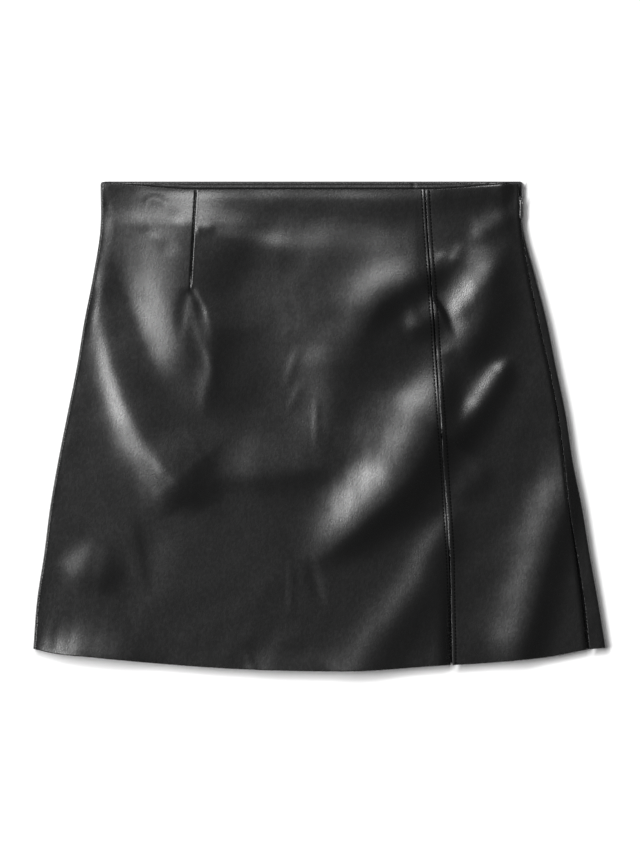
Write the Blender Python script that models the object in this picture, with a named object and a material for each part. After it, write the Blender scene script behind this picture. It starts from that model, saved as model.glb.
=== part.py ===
"""A black imitation-leather mini skirt, laid flat on its back.

The skirt is a tube of panels. The back panel lies on the surface, curls up at the left
fold to a side seam, and comes over the right fold as a strip to the right side seam,
where a concealed zip is sewn. The front is a main panel with a dart and a side panel,
joined by a topstitched seam that opens into a slit above the hem.

Sizes here are in millimetres. "drop" is the distance below the back's waist edge, and x
runs from the wearer's right (the left of the view from above) to the wearer's left.
Each panel is a grid of points on the outer skin, joined to the same grid moved inwards
by the wall.
"""

import math
from collections import namedtuple

import bmesh
import bpy
import numpy as np
from mathutils import Matrix, Vector

MM = 0.001

# ---------------------------------------------------------------- driving dimensions
LENGTH = 422.0          # over all, from the back's waist edge to the lowest point of the hem
WALL = 1.2              # imitation leather with its fabric backing
TURNED_WALL = 2.0       # the wall where an edge is turned in
HEM_TURN = 30.0         # depth of the turned hem
HEM_TURN_RUN = 8.0      # over which the wall thickens there
WAIST_TURN = 6.0        # depth of the turned waist edge
WAIST_TURN_RUN = 6.0
SEAM_GAP = 0.3          # between pieces that are sewn to each other
WAIST_DROOP = 5.1       # the front's waist edge lies lower than the back's at the middle
DROOP_LEFT = -189.0     # where that droop starts, and how far in it is complete
DROOP_LEFT_RUN = 84.0
DROOP_RIGHT = 172.0
DROOP_RIGHT_RUN = 80.0
SIDE_WAIST_DROP = 2.0   # the front's waist edge at the two side seams
SIDE_HEM_DROP = 402.3   # the hem at the two side seams

# Outline and seam lines: x of each line at each drop
Station = namedtuple("Station", "drop left dart panel seam right")
STATIONS = (
    Station(0.0, -189.0, -106.4, 90.2, 172.3, 174.9),
    Station(40.0, -189.3, -108.6, 92.5, 173.7, 176.2),
    Station(80.0, -195.4, -110.9, 95.5, 179.8, 186.4),
    Station(120.0, -203.2, -112.6, 98.4, 188.2, 196.5),
    Station(160.0, -209.7, -114.3, 101.0, 197.2, 204.5),
    Station(200.0, -217.7, -116.0, 103.8, 204.7, 212.7),
    Station(240.0, -225.6, -117.8, 106.4, 210.1, 218.7),
    Station(280.0, -232.5, -119.5, 109.3, 214.4, 226.7),
    Station(320.0, -237.6, -121.3, 111.7, 220.7, 233.1),
    Station(360.0, -243.7, -123.0, 112.4, 226.7, 240.2),
    Station(402.3, -247.0, -124.8, 113.3, 231.3, 247.0),
)

# The hem's drop at each x
HemPoint = namedtuple("HemPoint", "x drop")
HEM = (
    HemPoint(-247.0, 402.3),
    HemPoint(-232.0, 405.8),
    HemPoint(-198.0, 409.4),
    HemPoint(-146.0, 414.4),
    HemPoint(-77.5, 419.4),
    HemPoint(-20.0, 421.3),
    HemPoint(40.0, 421.3),
    HemPoint(95.0, 417.4),
    HemPoint(146.0, 414.4),
    HemPoint(198.0, 409.2),
    HemPoint(231.3, 403.0),
    HemPoint(247.0, 401.5),
)

# How the tube lies: half height of its rolled side folds, the width of the left and the
# right one, and how far the front stands above them at the middle, at each drop
Lie = namedtuple("Lie", "drop half_fold left_width right_width crown")
LIES = (
    Lie(0.0, 3.8, 3.0, 4.2, 2.8),
    Lie(20.0, 4.0, 3.0, 4.4, 3.2),
    Lie(60.0, 4.2, 3.2, 5.0, 5.2),
    Lie(120.0, 4.4, 3.4, 6.0, 6.6),
    Lie(200.0, 4.6, 3.6, 7.0, 6.2),
    Lie(320.0, 4.6, 3.6, 7.0, 4.0),
    Lie(402.3, 4.4, 3.6, 6.5, 3.0),
)
EDGE_SHARE = 0.25       # the part of that crown that is reached just inside the folds
EDGE_RISE = 1.5
ARCH_POWER = 1.6

# The largest folds of the front: a path of (x, drop) points along each crest, its height,
# its width on the side that faces the upper left and on the other side, how much wider it
# grows along the path, and the part of its length over which it rises and fades
Fold = namedtuple("Fold", "name path height near far grow rise fade")
FOLDS = (
    Fold("waist roll", ((110, 17), (30, 17), (-60, 17), (-186, 14)), 1, 8, 13, 0, 0.15, 0.15),
    Fold("left valley", ((-179, 55), (-174, 74), (-167, 93), (-160, 111), (-152, 133), (-142, 155),
                         (-132, 176)),
         -0.8, 9, 20, 0, 0.3, 0.3),
    Fold("left fold", ((-191, 50), (-189, 72), (-189, 98), (-184, 128), (-178, 152), (-171, 172),
                       (-164, 191), (-155, 210), (-144, 229), (-132, 245), (-121, 258),
                       (-109, 271), (-100, 286)),
         5.2, 17, 26, 0.6, 0.75, 0.15),
    Fold("dart crown", ((-117, 7), (-117, 59), (-118, 93), (-118, 119), (-114, 145), (-105, 171),
                        (-96, 192), (-86, 216)),
         5.2, 35, 40, -0.8, 0.15, 0.42),
    Fold("dart streak", ((-98, 95), (-93, 123), (-90, 145), (-91, 166), (-96, 188), (-101, 209)),
         2, 10, 36, 0.2, 0.35, 0.35),
    Fold("belly", ((110, 108), (60, 110), (20, 106), (-30, 98), (-82, 92)), 3.6, 50, 60, 0, 0.35, 0.45),
    Fold("middle streak", ((8, 115), (13, 149), (15, 184), (11, 214), (3, 244)),
         3.2, 28, 60, 0, 0.35, 0.25),
    Fold("middle ridge", ((30, 70), (26, 110), (18, 145), (14, 179), (15, 214)),
         0.8, 32, 20, 0, 0.4, 0.4),
    Fold("upper band", ((96, 55), (75, 56), (43, 58), (0, 59), (-69, 61)), 1, 18, 18, 0, 0.1, 0.4),
    Fold("upper diagonal", ((129, 62), (108, 73), (86, 85), (65, 96), (50, 107), (36, 129),
                            (22, 157)),
         4.8, 27, 14, 0.4, 0.45, 0.6),
    Fold("seam patch", ((108, 110), (90, 120), (70, 132)), 4, 21, 13, 0, 0.15, 0.5),
    Fold("great diagonal", ((108, 141), (103, 178), (99, 200), (94, 220), (86, 238), (76, 254),
                            (63, 270), (46, 285), (28, 302), (5, 318), (-24, 332)),
         11.4, 40, 20, -0.1, 0.3, 0.5),
    Fold("lower diagonal", ((120, 272), (110, 298), (97, 323), (90, 343), (78, 362), (65, 380),
                            (51, 398), (28, 438)),
         2.6, 18, 18, 0.5, 0.25, 0.05),
    Fold("zip fan top", ((169, 26), (150, 38), (126, 54)), 1.7, 12, 10, 0, 0.3, 0.4),
    Fold("zip fan low", ((164, 25), (160, 46), (154, 69), (146, 93), (139, 115), (132, 136),
                         (119, 175)),
         4.9, 25, 18, 0.1, 0.6, 0.3),
    Fold("zip fan left", ((157, 67), (143, 85), (127, 103), (109, 120)), 1.1, 13, 10, 0, 0.3, 0.25),
    Fold("panel streak", ((165, 148), (155, 168), (145, 184), (135, 197), (124, 212), (112, 226)),
         3.6, 13, 10, 0.1, 0.25, 0.06),
    Fold("panel low", ((152, 243), (131, 258), (112, 276)), 1.2, 16, 12, 0, 0.4, 0.4),
    Fold("side band", ((208, 210), (213, 250), (211, 275), (201, 304), (191, 339), (181, 377),
                       (165, 438)),
         5, 26, 14, 0, 0.35, 0.2),
    Fold("left bump", ((-165, 341), (-189, 336), (-207, 331), (-226, 322)), 2.2, 18, 16, 0, 0.4, 0.45),
    Fold("corner", ((-130, 424), (-176, 420), (-211, 416), (-250, 408)), 5.4, 28, 10, 0, 0.5, 0.4),
    Fold("hem lift", ((69, 432), (0, 434), (-77, 431)), 2, 22, 10, 0, 0.4, 0.3),
    Fold("middle low", ((34, 228), (9, 240), (-30, 250), (-69, 253), (-103, 257)),
         2.4, 24, 16, 0, 0.4, 0.4),
    Fold("dart shoulder", ((-17, 66), (-47, 59), (-77, 52), (-108, 45), (-146, 40)),
         1.5, 16, 26, 0, 0.45, 0.5),
    Fold("waist dark", ((169, 4), (129, 6), (73, 7)), 2.6, 5, 15, 0, 0.15, 0.35),
)

END_WIDTH = 0.55        # a fold's width at its ends, as a share of its full width
FOLD_MARGIN = 12.0      # folds die out over this distance from the tube's side folds

# Seams: a narrow groove with a soft swell of the turned cloth on each side
GROOVE_DEPTH = 0.8
GROOVE_WIDTH = 0.9
SWELL_HEIGHT = 0.5
SWELL_OFFSET = 2.2
SWELL_WIDTH = 1.6
DART_LENGTH = 83.6
DART_DEPTH = 1.2
DART_WIDTH = 2.0
DART_FADE = 20.0
SLIT_TOP = 305.0        # drop at which the panel seam opens
SLIT_GAP = 0.9          # how far its edges stand apart at the hem
SLIT_DIP = 4.0          # how far the main panel's edge hangs lower at the hem
SLIT_DIP_WIDTH = 5.5
SIDE_ROLL = 1.2         # how far the side panel's edge rolls down at the right side seam
SIDE_ROLL_WIDTH = 1.6
LEFT_SEAM_INSET = 1.3   # from the left fold to the side seam on it

# Zip opening in the right side seam
ZIP_TOP = 3.0           # drop of the top of the coil
ZIP_LENGTH = 180.0
ZIP_OPEN_END = 34.0     # drop where the seam closes over the zip
ZIP_OPEN_GAP = 2.9      # width of the opening
ZIP_CLOSE_RUN = 6.0     # over which it narrows to a seam
TAPE_WIDTH = 10.4
TAPE_WALL = 0.5
COIL_WIDTH = 2.2
COIL_HEIGHT = 1.0
COIL_DEPTH = 1.7        # from the skin down to the coil
COIL_SINK_START = 5.0   # below the slider it follows the seam's roll, from here
COIL_SINK_RUN = 6.0
TAPE_REACH = 16.0       # how much of the front's and of the back's skin its path follows
TAPE_REACH_BACK = 14.0
TAPE_START_FRONT = 3.0  # from the seam to each tape, measured along the skin
TAPE_START_BACK = 4.0
SLIDER_DROP = 16.5      # middle of the slider
SLIDER_LENGTH = 7.0
SLIDER_WIDTH = 2.2
SLIDER_HEIGHT = 1.5
SLIDER_PROUD = 0.3      # how far its top stands over the skin
CROWN_RADIUS = 2.2      # outer radius of the loop on the slider that holds the pull tab
CROWN_BAR = 0.8
CROWN_THICK = 1.0
PULL_LENGTH = 16.0
PULL_WIDTH = 3.2
PULL_THICK = 0.8
PULL_PIN = 0.4          # radius of the bar that turns in the slider's loop
PULL_LIFT = 0.75        # height of that bar above the slider
PULL_WINDOW = 2.7       # from the bar to the end of the tab's window
PULL_PLAY = 0.3         # between the window's sides and the loop
PULL_WAIST = 0.88       # the tab's width at its shoulders, as a share of its full width
PULL_BEVEL = 0.22

# Facing inside the back waist
FACING_DEPTH = 32.0
FACING_WALL = 1.0
FACING_TOP = 0.8
FACING_INSET = 8.0
FACING_ZIP_INSET = 12.4  # it ends beside the zip's tape

BACK_HEM_SHORT = 3.0    # the back's hem lies this much higher in the middle than the front's
CORNER_RADIUS = 3.0     # rounded corners of the waist, seen from above
ROWS = 38               # rows of points from waist to hem
EDGE_ROWS = 0.18        # how much closer together they are at both edges
SEAM_SLOPE_STEP = 0.8   # from the seam to where the skin's slope beside it is read
SECTION_POINTS = 60     # points of a section through the skin beside the zip
SHARP_ANGLE = 35.0      # edges sharper than this are shaded as edges


# ---------------------------------------------------------------- small helpers
def clear_scene():
    for obj in list(bpy.data.objects):
        bpy.data.objects.remove(obj, do_unlink=True)


def smooth_step(t):
    t = np.clip(t, 0.0, 1.0)
    return t * t * (3.0 - 2.0 * t)


def curve_through(xs, ys, at):
    """A smooth curve through (xs, ys), read at the values in `at`."""
    xs = np.asarray(xs, float)
    ys = np.asarray(ys, float)
    slope = np.gradient(ys, xs)
    at = np.clip(np.asarray(at, float), xs[0], xs[-1])
    i = np.clip(np.searchsorted(xs, at) - 1, 0, len(xs) - 2)
    step = xs[i + 1] - xs[i]
    t = (at - xs[i]) / step
    a = ys[i] * (1 + 2 * t) * (1 - t) ** 2
    b = slope[i] * step * t * (1 - t) ** 2
    c = ys[i + 1] * t * t * (3 - 2 * t)
    d = slope[i + 1] * step * t * t * (t - 1)
    return a + b + c + d


def line_x(name, drop):
    """x of an outline or seam line at a drop."""
    drops = [s.drop for s in STATIONS]
    return curve_through(drops, [getattr(s, name) for s in STATIONS], drop)


def lie(name, drop):
    drops = [s.drop for s in LIES]
    return curve_through(drops, [getattr(s, name) for s in LIES], drop)


def hem_drop(x):
    return curve_through([p.x for p in HEM], [p.drop for p in HEM], x)


def waist_drop(x):
    """Drop of the front's waist edge: level in the middle, rising to the side seams."""
    left = smooth_step((x - DROOP_LEFT) / DROOP_LEFT_RUN)
    right = smooth_step((DROOP_RIGHT - x) / DROOP_RIGHT_RUN)
    return SIDE_WAIST_DROP + WAIST_DROOP * left * right


# ---------------------------------------------------------------- the skin's form
def path_points(path, per_span=10):
    """Points along a smooth curve through the path."""
    pts = np.asarray(path, float)
    n = len(pts)
    t = np.linspace(0.0, n - 1.0, per_span * (n - 1) + 1)
    return np.stack([curve_through(range(n), pts[:, 0], t), curve_through(range(n), pts[:, 1], t)], axis=1)


def fold_height(fold, x, drop):
    """Height of one fold at the points (x, drop)."""
    pts = path_points(fold.path)
    seg = pts[1:] - pts[:-1]
    length = np.linalg.norm(seg, axis=1)
    start = np.concatenate([[0.0], np.cumsum(length)])
    best = np.full(x.shape, 1e9)
    side = np.zeros(x.shape)
    along = np.zeros(x.shape)
    for k in range(len(seg)):
        rx = x - pts[k, 0]
        ry = drop - pts[k, 1]
        t = np.clip((rx * seg[k, 0] + ry * seg[k, 1]) / length[k] ** 2, 0.0, 1.0)
        dx = rx - t * seg[k, 0]
        dy = ry - t * seg[k, 1]
        dist = np.hypot(dx, dy)
        near = dist < best
        best = np.where(near, dist, best)
        side = np.where(near, seg[k, 0] * ry - seg[k, 1] * rx, side)
        along = np.where(near, (start[k] + t * length[k]) / start[-1], along)
    ends = smooth_step(along / fold.rise) * smooth_step((1.0 - along) / fold.fade)
    width = np.where(side > 0, fold.near, fold.far)
    width = width * (END_WIDTH + (1.0 - END_WIDTH) * ends) * (1.0 + fold.grow * (along - 0.5))
    return fold.height * ends * np.exp(-(best / width) ** 2)


def seam_relief(x, drop):
    """The groove and swells along the panel seam, and the dart."""
    off = x - line_x("panel", drop)
    relief = -GROOVE_DEPTH * np.exp(-(off / GROOVE_WIDTH) ** 2)
    relief += SWELL_HEIGHT * np.exp(-((np.abs(off) - SWELL_OFFSET) / SWELL_WIDTH) ** 2)
    dip = SLIT_DIP * smooth_step((drop - SLIT_TOP) / (SIDE_HEM_DROP - SLIT_TOP))
    relief -= np.where(off < 0, dip * np.exp(-(off / SLIT_DIP_WIDTH) ** 2), 0.0)
    dart_off = x - line_x("dart", drop)
    fade = smooth_step((waist_drop(x) + DART_LENGTH - drop) / DART_FADE)
    relief -= DART_DEPTH * fade * np.exp(-(dart_off / DART_WIDTH) ** 2)
    return relief


def side_relief(x, drop):
    """The side panel's edge rolls down at the right side seam, and the back's strip with it."""
    off = x - line_x("seam", drop)
    return -SIDE_ROLL * np.exp(-(off / SIDE_ROLL_WIDTH) ** 2)


def top_z(x, drop, seams=True):
    """Height of the outer skin on the upper side of the tube."""
    left = line_x("left", drop)
    right = line_x("right", drop)
    half = lie("half_fold", drop)
    width = np.where(x - left < right - x, lie("left_width", drop), lie("right_width", drop))
    across = np.clip((x - left) / (right - left), 0.0, 1.0)
    edge = np.clip(np.minimum(x - left, right - x), 0.0, None)
    arch = EDGE_SHARE * (1.0 - np.exp(-edge / EDGE_RISE))
    arch = arch + (1.0 - EDGE_SHARE) * np.sin(math.pi * across) ** ARCH_POWER
    height = 2.0 * half + lie("crown", drop) * arch
    inside = smooth_step(edge / FOLD_MARGIN)
    for fold in FOLDS:
        height = height + inside * fold_height(fold, x, drop)
    if seams:
        height = height + seam_relief(x, drop) + side_relief(x, drop)
    roll = np.clip(edge / width, 0.0, 1.0)
    round_over = np.sqrt(np.clip(1.0 - (1.0 - roll) ** 2, 0.0, 1.0))
    return half + (height - half) * round_over


def under_z(x, edge, drop):
    """Height of the outer skin on the lower side, `edge` in from the fold."""
    half = lie("half_fold", drop)
    width = np.where(x < 0.0, lie("left_width", drop), lie("right_width", drop))
    roll = np.clip(edge / width, 0.0, 1.0)
    return half - half * np.sqrt(np.clip(1.0 - (1.0 - roll) ** 2, 0.0, 1.0))


# ---------------------------------------------------------------- solids from grids
def grid_normals(grid):
    """Unit normals of a grid whose rows run down the skirt: up where columns run to +x."""
    down = np.gradient(grid, axis=0, edge_order=2)
    across = np.gradient(grid, axis=1, edge_order=2)
    normal = np.cross(down, across)
    return normal / np.linalg.norm(normal, axis=2, keepdims=True)


def solid_from_grids(name, outer, inner, material):
    """Close two grids of points (rows x columns, in mm) into one solid."""
    rows, cols = outer.shape[:2]
    mesh = bpy.data.meshes.new(name)
    bm = bmesh.new()
    layers = []
    for grid in (outer, inner):
        layers.append([[bm.verts.new(Vector(grid[i, j]) * MM) for j in range(cols)] for i in range(rows)])
    top, low = layers
    for i in range(rows - 1):
        for j in range(cols - 1):
            bm.faces.new((top[i][j], top[i + 1][j], top[i + 1][j + 1], top[i][j + 1]))
            bm.faces.new((low[i][j], low[i][j + 1], low[i + 1][j + 1], low[i + 1][j]))
    for j in range(cols - 1):
        bm.faces.new((top[0][j], top[0][j + 1], low[0][j + 1], low[0][j]))
        bm.faces.new((top[-1][j + 1], top[-1][j], low[-1][j], low[-1][j + 1]))
    for i in range(rows - 1):
        bm.faces.new((top[i + 1][0], top[i][0], low[i][0], low[i + 1][0]))
        bm.faces.new((top[i][-1], top[i + 1][-1], low[i + 1][-1], low[i][-1]))
    bmesh.ops.recalc_face_normals(bm, faces=bm.faces[:])
    bm.to_mesh(mesh)
    bm.free()
    return add_object(name, mesh, material)


def add_object(name, mesh, material):
    obj = bpy.data.objects.new(name, mesh)
    bpy.context.scene.collection.objects.link(obj)
    mesh.materials.append(material)
    mesh.shade_smooth()
    mesh.set_sharp_from_angle(angle=math.radians(SHARP_ANGLE))
    return obj


def place(x, drop, z):
    """Points of the part's frame, in mm, from x, drop and height."""
    return np.stack([x, LENGTH / 2.0 - drop, z], axis=-1)


def wall_from(outer, wall):
    """The inner grid: the outer one moved inwards by the wall (one value, or one per row)."""
    wall = np.asarray(wall, float)
    if wall.ndim:
        wall = wall[:, None, None]
    return outer - grid_normals(outer) * wall


def row_shares():
    """Rows from waist (0) to hem (1), closer together at both edges."""
    t = np.linspace(0.0, 1.0, ROWS)
    return (1.0 - EDGE_ROWS) * t + EDGE_ROWS * smooth_step(t)


def front_wall(shares):
    """The front's wall: thicker where the waist and the hem are turned in."""
    drop = shares * SIDE_HEM_DROP
    waist = 1.0 - smooth_step((drop - WAIST_TURN) / WAIST_TURN_RUN)
    hem = smooth_step((drop - (SIDE_HEM_DROP - HEM_TURN)) / HEM_TURN_RUN)
    return WALL + (TURNED_WALL - WALL) * np.maximum(waist, hem)


# ---------------------------------------------------------------- panels
def front_grid(columns):
    """A grid on the front. `columns(drop)` gives the x of every column at the drops."""
    shares = row_shares()
    nominal = SIDE_WAIST_DROP + shares * (SIDE_HEM_DROP - SIDE_WAIST_DROP)
    x = columns(nominal)
    top = waist_drop(x[:1, :])
    bottom = hem_drop(x[-1:, :])
    drop = top + shares[:, None] * (bottom - top)
    return place(x, drop, top_z(x, drop)), front_wall(shares)


def spread(start, end, offsets, count):
    """Columns from line `start` to line `end`: fixed offsets at both, even ones between."""
    head, tail = offsets
    left = start[:, None] + np.array(head)
    right = end[:, None] - np.array(tail[::-1])
    share = np.linspace(0.0, 1.0, count + 2)[1:-1]
    middle = left[:, -1:] + (right[:, :1] - left[:, -1:]) * share
    return np.concatenate([left, middle, right], axis=1)


def slit_half_gap(drop):
    """Half of the space between the two front panels: a seam, then the open slit."""
    open_part = smooth_step((drop - SLIT_TOP) / (SIDE_HEM_DROP - SLIT_TOP))
    return 0.5 * (SEAM_GAP + (SLIT_GAP - SEAM_GAP) * open_part)


def main_columns(drop):
    left = line_x("left", drop) + LEFT_SEAM_INSET + SEAM_GAP
    dart = line_x("dart", drop)
    seam = line_x("panel", drop) - slit_half_gap(drop)
    first = spread(left, dart, ((0.0, 0.9, 2.4, 5.0, 9.0), (0.0, 1.6, 4.0)), 10)
    second = spread(dart, seam, ((1.6, 4.0), (0.0, 1.2, 2.8, 5.0)), 22)
    return np.concatenate([first, second], axis=1)


def zip_half_gap(drop):
    """Half of the space along the right side seam: the zip's opening, then a seam."""
    closed = smooth_step((drop - ZIP_OPEN_END + ZIP_CLOSE_RUN) / ZIP_CLOSE_RUN)
    return 0.5 * (ZIP_OPEN_GAP + (SEAM_GAP - ZIP_OPEN_GAP) * closed)


def side_columns(drop):
    seam = line_x("panel", drop) + slit_half_gap(drop)
    right = line_x("seam", drop) - zip_half_gap(drop)
    return spread(seam, right, ((0.0, 1.2, 2.8, 5.0), (0.0, 0.8, 2.0, 4.0, 7.0)), 11)


def back_shares():
    """Columns of the back as (part, share): up the left fold, under, and over the right."""
    cols = [("left_top", f) for f in (1.0, 0.5)]
    cols += [("left_under", f) for f in (0.0, 0.25, 0.5, 0.75, 1.0)]
    cols += [("flat", f) for f in (0.1, 0.2, 0.3, 0.4, 0.5, 0.6, 0.7, 0.8, 0.9)]
    cols += [("right_under", f) for f in (1.0, 0.75, 0.5, 0.25, 0.0)]
    cols += [("right_top", f) for f in (0.25, 0.45, 0.65, 0.85, 1.0)]
    return cols


def back_grid():
    """The back's outer skin, from the left side seam under the tube to the right one."""
    shares = row_shares()
    level = shares * SIDE_HEM_DROP
    left = line_x("left", level)
    right = line_x("right", level)
    left_width = lie("left_width", level)
    right_width = lie("right_width", level)
    strip = right - line_x("seam", level) - zip_half_gap(level)
    columns = []
    for part, share in back_shares():
        if part == "left_top":
            x = left + LEFT_SEAM_INSET * share ** 2
        elif part == "left_under":
            x = left + left_width * share ** 2
        elif part == "flat":
            x = left + left_width + (right - left - left_width - right_width) * share
        elif part == "right_under":
            x = right - right_width * share ** 2
        else:
            x = right - strip * share ** 2
        middle = math.sin(math.pi * (x[-1] - left[-1]) / (right[-1] - left[-1]))
        hem = hem_drop(x[-1]) - BACK_HEM_SHORT * max(middle, 0.0)
        corner = np.clip(CORNER_RADIUS - min(x[0] - left[0], right[0] - x[0]), 0.0, None)
        top = CORNER_RADIUS - np.sqrt(CORNER_RADIUS ** 2 - corner ** 2)
        drop = top + shares * (hem - top)
        if part in ("left_top", "right_top"):
            z = top_z(x, drop)
        else:
            z = under_z(x, np.minimum(x - left, right - x), level)
        columns.append(place(x, drop, z))
    return np.stack(columns, axis=1)


def make_front_main(material):
    outer, wall = front_grid(main_columns)
    return solid_from_grids("front_main", outer, wall_from(outer, wall), material)


def make_front_side(material):
    outer, wall = front_grid(side_columns)
    return solid_from_grids("front_side", outer, wall_from(outer, wall), material)


def make_back_panel(material):
    outer = back_grid()
    inner = outer + grid_normals(outer) * WALL
    return solid_from_grids("back_panel", outer, inner, material)


def make_facing_back(material):
    drops = np.array([FACING_TOP, 6.0, 18.0, FACING_DEPTH])
    share = np.linspace(0.0, 1.0, 13)
    left = line_x("left", drops) + FACING_INSET
    right = line_x("right", drops) - FACING_ZIP_INSET
    x = left[:, None] + (right - left)[:, None] * share
    drop = np.broadcast_to(drops[:, None], x.shape)
    low = np.full(x.shape, WALL + SEAM_GAP)
    lower = place(x, drop, low)
    upper = place(x, drop, low + FACING_WALL)
    return solid_from_grids("facing_back", upper, lower, material)


# ---------------------------------------------------------------- the zip
def seam_frame(drop):
    """Where the skin lies over the right side seam, and its sideways and outward directions."""
    x = float(line_x("seam", drop))
    beside = np.array([x, x - SEAM_SLOPE_STEP, x + SEAM_SLOPE_STEP])
    here, low, high = top_z(beside, np.full(3, float(drop)), seams=False)
    out = Vector((-(high - low) / (2.0 * SEAM_SLOPE_STEP), 0.0, 1.0)).normalized()
    side = Vector((out.z, 0.0, -out.x))
    return Vector((x, LENGTH / 2.0 - drop, here)), side, out


def section_from_seam(drop, toward_back):
    """Points of the skin's section at a drop, from the right side seam to the front or back."""
    seam = float(line_x("seam", drop))
    right = float(line_x("right", drop))
    if not toward_back:
        x = seam - TAPE_REACH * np.linspace(0.0, 1.0, SECTION_POINTS)
        return place(x, np.full(x.shape, drop), top_z(x, np.full(x.shape, drop), seams=False))
    edge = (right - seam) * np.linspace(1.0, 0.0, SECTION_POINTS) ** 2
    x = right - edge
    upper = place(x, np.full(x.shape, drop), top_z(x, np.full(x.shape, drop), seams=False))
    edge = TAPE_REACH_BACK * np.linspace(0.0, 1.0, SECTION_POINTS)[1:] ** 2
    x = right - edge
    lower = place(x, np.full(x.shape, drop), under_z(x, edge, np.full(x.shape, drop)))
    return np.concatenate([upper, lower])


def run_length(points):
    """Length along a line of points, at each of them."""
    return np.concatenate([[0.0], np.cumsum(np.linalg.norm(np.diff(points, axis=0), axis=1))])


def make_tape(name, toward_back, start, material):
    """A zip tape: a strip along the seam, in under the panel's wall."""
    rows = []
    for drop in np.linspace(ZIP_TOP, ZIP_TOP + ZIP_LENGTH, 18):
        pts = section_from_seam(drop, toward_back)
        tangent = np.gradient(pts, axis=0)
        inward = np.stack([tangent[:, 2], np.zeros(len(pts)), -tangent[:, 0]], axis=1)
        inward *= 1.0 if toward_back else -1.0
        inward /= np.linalg.norm(inward, axis=1, keepdims=True)
        near = pts + inward * (TURNED_WALL + SEAM_GAP)
        run = run_length(near)
        at = np.interp(start, run_length(pts), run) + np.linspace(0.0, TAPE_WIDTH, 7)
        point = np.stack([np.interp(at, run, near[:, k]) for k in range(3)], axis=1)
        normal = np.stack([np.interp(at, run, inward[:, k]) for k in range(3)], axis=1)
        rows.append((point, normal / np.linalg.norm(normal, axis=1, keepdims=True)))
    point = np.stack([r[0] for r in rows])
    normal = np.stack([r[1] for r in rows])
    return solid_from_grids(name, point, point + normal * TAPE_WALL, material)


def make_zip_coil(material):
    """The closed coil: a half-round strip under the seam."""
    bm = bmesh.new()
    rings = []
    for drop in np.linspace(ZIP_TOP, ZIP_TOP + ZIP_LENGTH, 24):
        centre, side, out = seam_frame(drop)
        sunk = SIDE_ROLL * float(smooth_step((drop - SLIDER_DROP - COIL_SINK_START) / COIL_SINK_RUN))
        base = centre - out * (COIL_DEPTH + sunk + COIL_HEIGHT)
        ring = []
        for turn in np.linspace(0.0, math.pi, 7):
            point = base + side * (0.5 * COIL_WIDTH * math.cos(turn)) + out * (COIL_HEIGHT * math.sin(turn))
            ring.append(bm.verts.new(point * MM))
        rings.append(ring)
    for ring, after in zip(rings, rings[1:]):
        for k in range(len(ring)):
            j = (k + 1) % len(ring)
            bm.faces.new((ring[k], ring[j], after[j], after[k]))
    bm.faces.new(rings[0])
    bm.faces.new(rings[-1])
    bmesh.ops.recalc_face_normals(bm, faces=bm.faces[:])
    mesh = bpy.data.meshes.new("zip_coil")
    bm.to_mesh(mesh)
    bm.free()
    return add_object("zip_coil", mesh, material)


def zip_matrix(lift):
    """The slider's frame: x across the zip, y towards the waist, z out of the skin."""
    centre, side, out = seam_frame(SLIDER_DROP)
    spot = (centre + out * lift) * MM
    turn = Matrix((side, Vector((0.0, 1.0, 0.0)), out)).transposed()
    return Matrix.Translation(spot) @ turn.to_4x4()


def prism(name, outline, low, high, axes):
    """An outline (in mm) extruded between two heights; `axes` orders its coordinates."""
    bm = bmesh.new()
    rings = []
    for level in (low, high):
        ring = []
        for u, v in outline:
            point = [0.0, 0.0, 0.0]
            point[axes[0]] = u
            point[axes[1]] = v
            point[axes[2]] = level
            ring.append(bm.verts.new(Vector(point) * MM))
        rings.append(ring)
    bm.faces.new(rings[0])
    bm.faces.new(rings[1])
    for k in range(len(outline)):
        j = (k + 1) % len(outline)
        bm.faces.new((rings[0][k], rings[0][j], rings[1][j], rings[1][k]))
    bmesh.ops.recalc_face_normals(bm, faces=bm.faces[:])
    mesh = bpy.data.meshes.new(name)
    bm.to_mesh(mesh)
    bm.free()
    return mesh


def add_guide(name, mesh):
    """A shape that cuts or joins another and isn't a piece itself."""
    obj = bpy.data.objects.new(name, mesh)
    bpy.context.scene.collection.objects.link(obj)
    obj.hide_render = True
    obj.display_type = "WIRE"
    return obj


def add_boolean(obj, other, operation):
    modifier = obj.modifiers.new(operation.title(), "BOOLEAN")
    modifier.operation = operation
    modifier.solver = "EXACT"
    modifier.object = other


def add_bevel(obj, width, segments):
    modifier = obj.modifiers.new("Bevel", "BEVEL")
    modifier.width = width * MM
    modifier.segments = segments
    modifier.limit_method = "ANGLE"
    modifier.angle_limit = math.radians(40)


def make_slider(material):
    """The slider's body, with the loop that holds the pull tab."""
    half = 0.5 * SLIDER_WIDTH
    end = 0.5 * SLIDER_LENGTH
    right = ((0.65 * half, -end), (half, -0.6 * end), (half, 0.55 * end), (0.7 * half, end))
    outline = right + tuple((-u, v) for u, v in reversed(right))
    body = prism("zip_slider", outline, SLIDER_PROUD - SLIDER_HEIGHT, SLIDER_PROUD, (0, 1, 2))
    obj = add_object("zip_slider", body, material)
    obj.matrix_world = zip_matrix(0.0)
    turns = np.linspace(math.radians(-14), math.radians(194), 19)
    outer = [(CROWN_RADIUS * math.cos(a), SLIDER_PROUD + CROWN_RADIUS * math.sin(a)) for a in turns]
    small = CROWN_RADIUS - CROWN_BAR
    inner = [(small * math.cos(a), SLIDER_PROUD + small * math.sin(a)) for a in reversed(turns)]
    loop = prism("crown", outer + inner, -0.5 * CROWN_THICK, 0.5 * CROWN_THICK, (1, 2, 0))
    crown = add_guide("crown_guide", loop)
    crown.matrix_world = obj.matrix_world
    add_boolean(obj, crown, "UNION")
    return obj


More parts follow.
